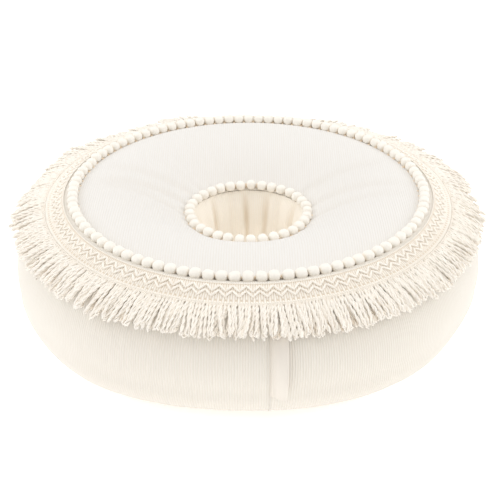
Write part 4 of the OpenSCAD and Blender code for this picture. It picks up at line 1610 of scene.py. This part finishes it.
def coil_row(name, side):
    """One row of the zip's coil: a flattened helix of monofilament."""
    settings = bpy.context.scene.cushion_zip
    start, end = zip_angles()
    lo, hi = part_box(name)
    middle = (lo.z + hi.z) / 2
    turns = round((end - start) * COIL_R / settings.tooth)
    per = 8
    t = np.arange(turns * per + 1) / per
    angle = start + (end - start) * t / turns
    angle = angle + (settings.tooth / COIL_R / 2 if side < 0 else 0)
    twist = TURN * t
    tall = 1.15 * MM + 0.85 * MM * np.clip(-side * np.cos(twist), 0, 1) * 0.6
    height = middle + side * -0.2 * MM + np.cos(twist) * tall
    radius = COIL_R + 0.85 * MM * np.sin(twist)
    keep = (angle > start) & (angle < end)
    return cords(name, [polar(radius, angle, height)[keep]], settings.wire / 2, sides=4)


def polished(name, width):
    """A bevelled copy of a small metal CAD node."""
    source = frame["nodes"][name]
    piece = source.copy()
    piece.data = source.data.copy()
    for key in list(piece.keys()):
        del piece[key]
    piece.parent = None
    piece.matrix_world = Matrix.Identity(4)
    bpy.context.scene.collection.objects.link(piece)
    activate(piece)
    bpy.ops.object.mode_set(mode="EDIT")
    bpy.ops.mesh.select_all(action="SELECT")
    bpy.ops.mesh.remove_doubles(threshold=MERGE)
    bpy.ops.mesh.dissolve_limited(angle_limit=math.radians(4))
    bpy.ops.object.mode_set(mode="OBJECT")
    modify(piece, "BEVEL", width=width, segments=2, limit_method="ANGLE", angle_limit=math.radians(35))
    activate(piece)
    bpy.ops.object.shade_smooth_by_angle(angle=math.radians(40))
    return piece


def stitch_line(name, rows_z, body_radius):
    """Rows of short stitches beside the zip."""
    settings = bpy.context.scene.cushion_zip
    start, end = zip_angles()
    number = round((end - start) * SIDE_R / settings.stitch)
    t = np.linspace(0.1, 0.9, 5)
    stitches = []
    for height in rows_z:
        for k in range(number):
            angle = start + (end - start) * (k + t) / number
            rise = body_radius(height) + (0.32 * np.sin(math.pi * (t - 0.1) / 0.8) - 0.05) * MM
            stitches.append(polar(rise, angle, np.full(5, height)))
    return cords(name, stitches, 0.28 * MM, sides=4)


def tape_ends():
    """The plain ends of the zip's tapes, which run on past the coil into the joins of the back band."""
    start, end = zip_angles()
    joins = [FRONT_JOIN + TURN * column / COLUMNS for column in (BACK_FROM, BACK_TO)]
    tuck = 4 * MM / SIDE_R
    hidden = 3 * MM
    ends = []
    for first, last in ((joins[0] - tuck, start), (end, joins[1] + tuck)):
        deselect()
        bpy.ops.mesh.primitive_grid_add(x_subdivisions=12, y_subdivisions=8, size=1)
        piece = bpy.context.object
        co = points_of(piece) + 0.5
        angle = first + co[:, 0] * (last - first)
        height = ZIP_BOTTOM_Z - hidden + co[:, 1] * (ZIP_TOP_Z - ZIP_BOTTOM_Z + 2 * hidden)
        set_points(piece, polar(TAPE_R, angle, height))
        ends.append(piece)
    piece = joined("zip_tape_ends", ends)
    modify(piece, "SOLIDIFY", thickness=TAPE_T, offset=-1)
    return piece


class CUSHION_OT_zip(bpy.types.Operator):
    """Makes the zip's coil, slider, pull tab, stops and stitching, and finishes its tapes."""

    bl_idname = "cushion.zip"
    bl_label = "Make the Zip"

    def execute(self, context):
        for name in ("zip_tape_upper", "zip_tape_lower"):
            for slot in frame["nodes"][name].material_slots:
                slot.material = material("zip_twill")
        ends = tape_ends()
        ends.data.materials.append(material("zip_twill"))
        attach(ends, "root")
        nylon_wire = material("zip_nylon")
        for name, side in (("zip_coil_upper", 1), ("zip_coil_lower", -1)):
            place(coil_row(name, side), nylon_wire, [name])
        metal = material("zip_nickel")
        bevels = (
            ("zip_stops", 0.12, "root"),
            ("zip_slider", 0.14, "zip_slider"),
            ("zip_pull_tab", 0.25, "zip_pull_tab"),
        )
        for name, width, body in bevels:
            place(polished(name, width * MM), metal, [name], body)
        rows = Meridian().rows[K_CREST : K_BASE_SEAM + 1][::-1]

        def side_radius(height):
            return float(np.interp(height, rows[:, 1], rows[:, 0]))

        beside = [ZIP_TOP_Z + 4 * MM, ZIP_BOTTOM_Z - 4 * MM]
        stitches = stitch_line("zip_stitching", beside, side_radius)
        stitches.data.materials.append(material("trim_thread"))
        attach(stitches, "root")
        return {"FINISHED"}


# Stage -------------------------------------------------------------------------------------------------


def softbox(name, place_at, aim, size, power, hue=(1, 1, 1)):
    """A square area light that looks at a point."""
    light = bpy.data.lights.new(name, "AREA")
    light.shape = "SQUARE"
    light.size = size
    light.energy = power
    light.color = hue
    lamp = bpy.data.objects.new(name, light)
    lamp.location = place_at
    lamp.rotation_euler = (Vector(aim) - Vector(place_at)).to_track_quat("-Z", "Y").to_euler()
    bpy.context.scene.collection.objects.link(lamp)
    return lamp


class CUSHION_OT_stage(bpy.types.Operator):
    """Sets up the camera, the soft light and the pale floor."""

    bl_idname = "cushion.stage"
    bl_label = "Set the Stage"

    def execute(self, context):
        scene = context.scene
        stage = scene.cushion_stage
        camera = bpy.data.cameras.new("camera")
        camera.lens = stage.lens
        camera.sensor_width = 36
        camera.clip_start = 0.02
        viewer = bpy.data.objects.new("camera", camera)
        rise = math.radians(stage.elevation)
        viewer.location = (
            stage.aside,
            -stage.distance * math.cos(rise),
            OUTER_BALL[1] + stage.distance * math.sin(rise),
        )
        viewer.rotation_euler = (math.radians(90 - stage.pitch), 0, 0)
        scene.collection.objects.link(viewer)
        scene.camera = viewer

        deselect()
        bpy.ops.mesh.primitive_plane_add(size=8, location=(0, 0, -0.4 * MM))
        floor = context.object
        floor.name = "studio_floor"
        floor.data.materials.append(material("studio_paper"))

        world = bpy.data.worlds.new("studio")
        world.use_nodes = True
        background = world.node_tree.nodes["Background"]
        background.inputs["Color"].default_value = (1, 1, 1, 1)
        background.inputs["Strength"].default_value = stage.sky
        scene.world = world
        softbox("overhead", (0.0, 0.35, 1.7), (0, 0, 0.1), 1.8, stage.key)
        softbox("left", (-1.5, 0.1, 0.9), (0, 0, 0.08), 1.2, stage.sides)
        softbox("right", (1.5, 0.1, 0.9), (0, 0, 0.08), 1.2, stage.sides)
        softbox("front", (0.0, -1.35, 1.45), (0, 0, 0.08), 1.0, stage.front, (1.0, 0.93, 0.84))
        scene.view_settings.view_transform = "Standard"
        scene.view_settings.look = "None"
        return {"FINISHED"}


# Sizes of the cloth ------------------------------------------------------------------------------------


class CUSHION_OT_cloth(bpy.types.Operator):
    """Looks up each panel of the cover and of the lining and works out the size it is cut to, but does
    nothing with the sizes or with the pieces named as sewn on it.
    """

    bl_idname = "cushion.cloth"
    bl_label = "Declare the Cloth"

    def execute(self, context):
        meridian = Meridian()
        rows, run = meridian.rows, meridian.run

        def sheet(name, flat):
            piece = bpy.data.objects[name + "_finished"]

        def disc(name, inner_row, extra, *sewn_on):
            inner = rows[inner_row, 0]
            outer = inner + extra
            sheet(name, (2 * outer, 2 * outer))

        def strip(name, radius, share_round, from_row, to_row, *sewn_on):
            tall = run[to_row] - run[from_row]
            sheet(name, (TURN * radius * share_round, tall))

        back = (BACK_TO - BACK_FROM) / COLUMNS
        last = ROWS - 1
        top_extra, base_extra = run[K_TOP_SEAM], run[K_SLEEVE_FOOT] - run[K_BASE_SEAM]
        disc("top_panel", 0, top_extra, "top_seam_allowance_finished", "rim_seam_allowance_finished")
        disc("base_panel", K_SLEEVE_FOOT, base_extra, "base_seam_allowance_finished")
        trims = ("fringe_header", "fringe_zigzag_upper", "fringe_zigzag_lower", "fringe_heading_cord")
        trims = [name + "_finished" for name in (*trims, "fringe_loops")] + ["fringe_loops_under"]
        left = 1 - BACK_TO / COLUMNS
        strip("band_left", SIDE_R, left, K_TOP_SEAM, K_BASE_SEAM, "front_join_allowance_finished", *trims)
        strip("band_right", SIDE_R, BACK_FROM / COLUMNS, K_TOP_SEAM, K_BASE_SEAM)
        strip("band_back_upper", SIDE_R, back, K_TOP_SEAM, K_ZIP_TOP, "back_join_allowances_finished")
        strip("band_back_lower", SIDE_R, back, K_ZIP_BOTTOM, K_BASE_SEAM, "zip_stitching", "zip_tape_ends")
        strip("hole_sleeve", rows[0, 0], 1, K_SLEEVE_FOOT, last, "sleeve_seam_allowance_finished")
        disc("liner_top", 0, top_extra)
        disc("liner_base", K_SLEEVE_FOOT, base_extra)
        strip("liner_wall", SIDE_R, 1, K_TOP_SEAM, K_BASE_SEAM)
        strip("liner_sleeve", rows[0, 0] + 8 * MM, 1, K_SLEEVE_FOOT, last)
        return {"FINISHED"}


# Panel and registration --------------------------------------------------------------------------------


STEPS = [
    CUSHION_OT_cover,
    CUSHION_OT_inside,
    CUSHION_OT_balls,
    CUSHION_OT_fringe,
    CUSHION_OT_label,
    CUSHION_OT_zip,
    CUSHION_OT_cloth,
    CUSHION_OT_stage,
]


class CUSHION_PT_steps(bpy.types.Panel):
    """Lists the cushion's steps and settings."""

    bl_idname = "CUSHION_PT_steps"
    bl_label = "Floor Cushion"
    bl_space_type = "VIEW_3D"
    bl_region_type = "UI"
    bl_category = "Cushion"

    def draw(self, context):
        for step in STEPS:
            self.layout.operator(step.bl_idname)
        for name, group in SETTINGS.items():
            box = self.layout.box()
            box.label(text=group.__doc__)
            for key in group.__annotations__:
                box.prop(getattr(context.scene, name), key)


CLASSES = [*SETTINGS.values(), *STEPS, CUSHION_PT_steps]


def register():
    for item in CLASSES:
        bpy.utils.register_class(item)
    for name, group in SETTINGS.items():
        setattr(bpy.types.Scene, name, bpy.props.PointerProperty(type=group))


def unregister():
    for name in SETTINGS:
        delattr(bpy.types.Scene, name)
    for item in reversed(CLASSES):
        bpy.utils.unregister_class(item)


def main():
    register()
    bpy.ops.cushion.cover()
    bpy.ops.cushion.inside()
    bpy.ops.cushion.balls()
    bpy.ops.cushion.fringe()
    bpy.ops.cushion.label()
    bpy.ops.cushion.zip()
    bpy.ops.cushion.cloth()
    bpy.ops.cushion.stage()


if __name__ == "__main__":
    main()
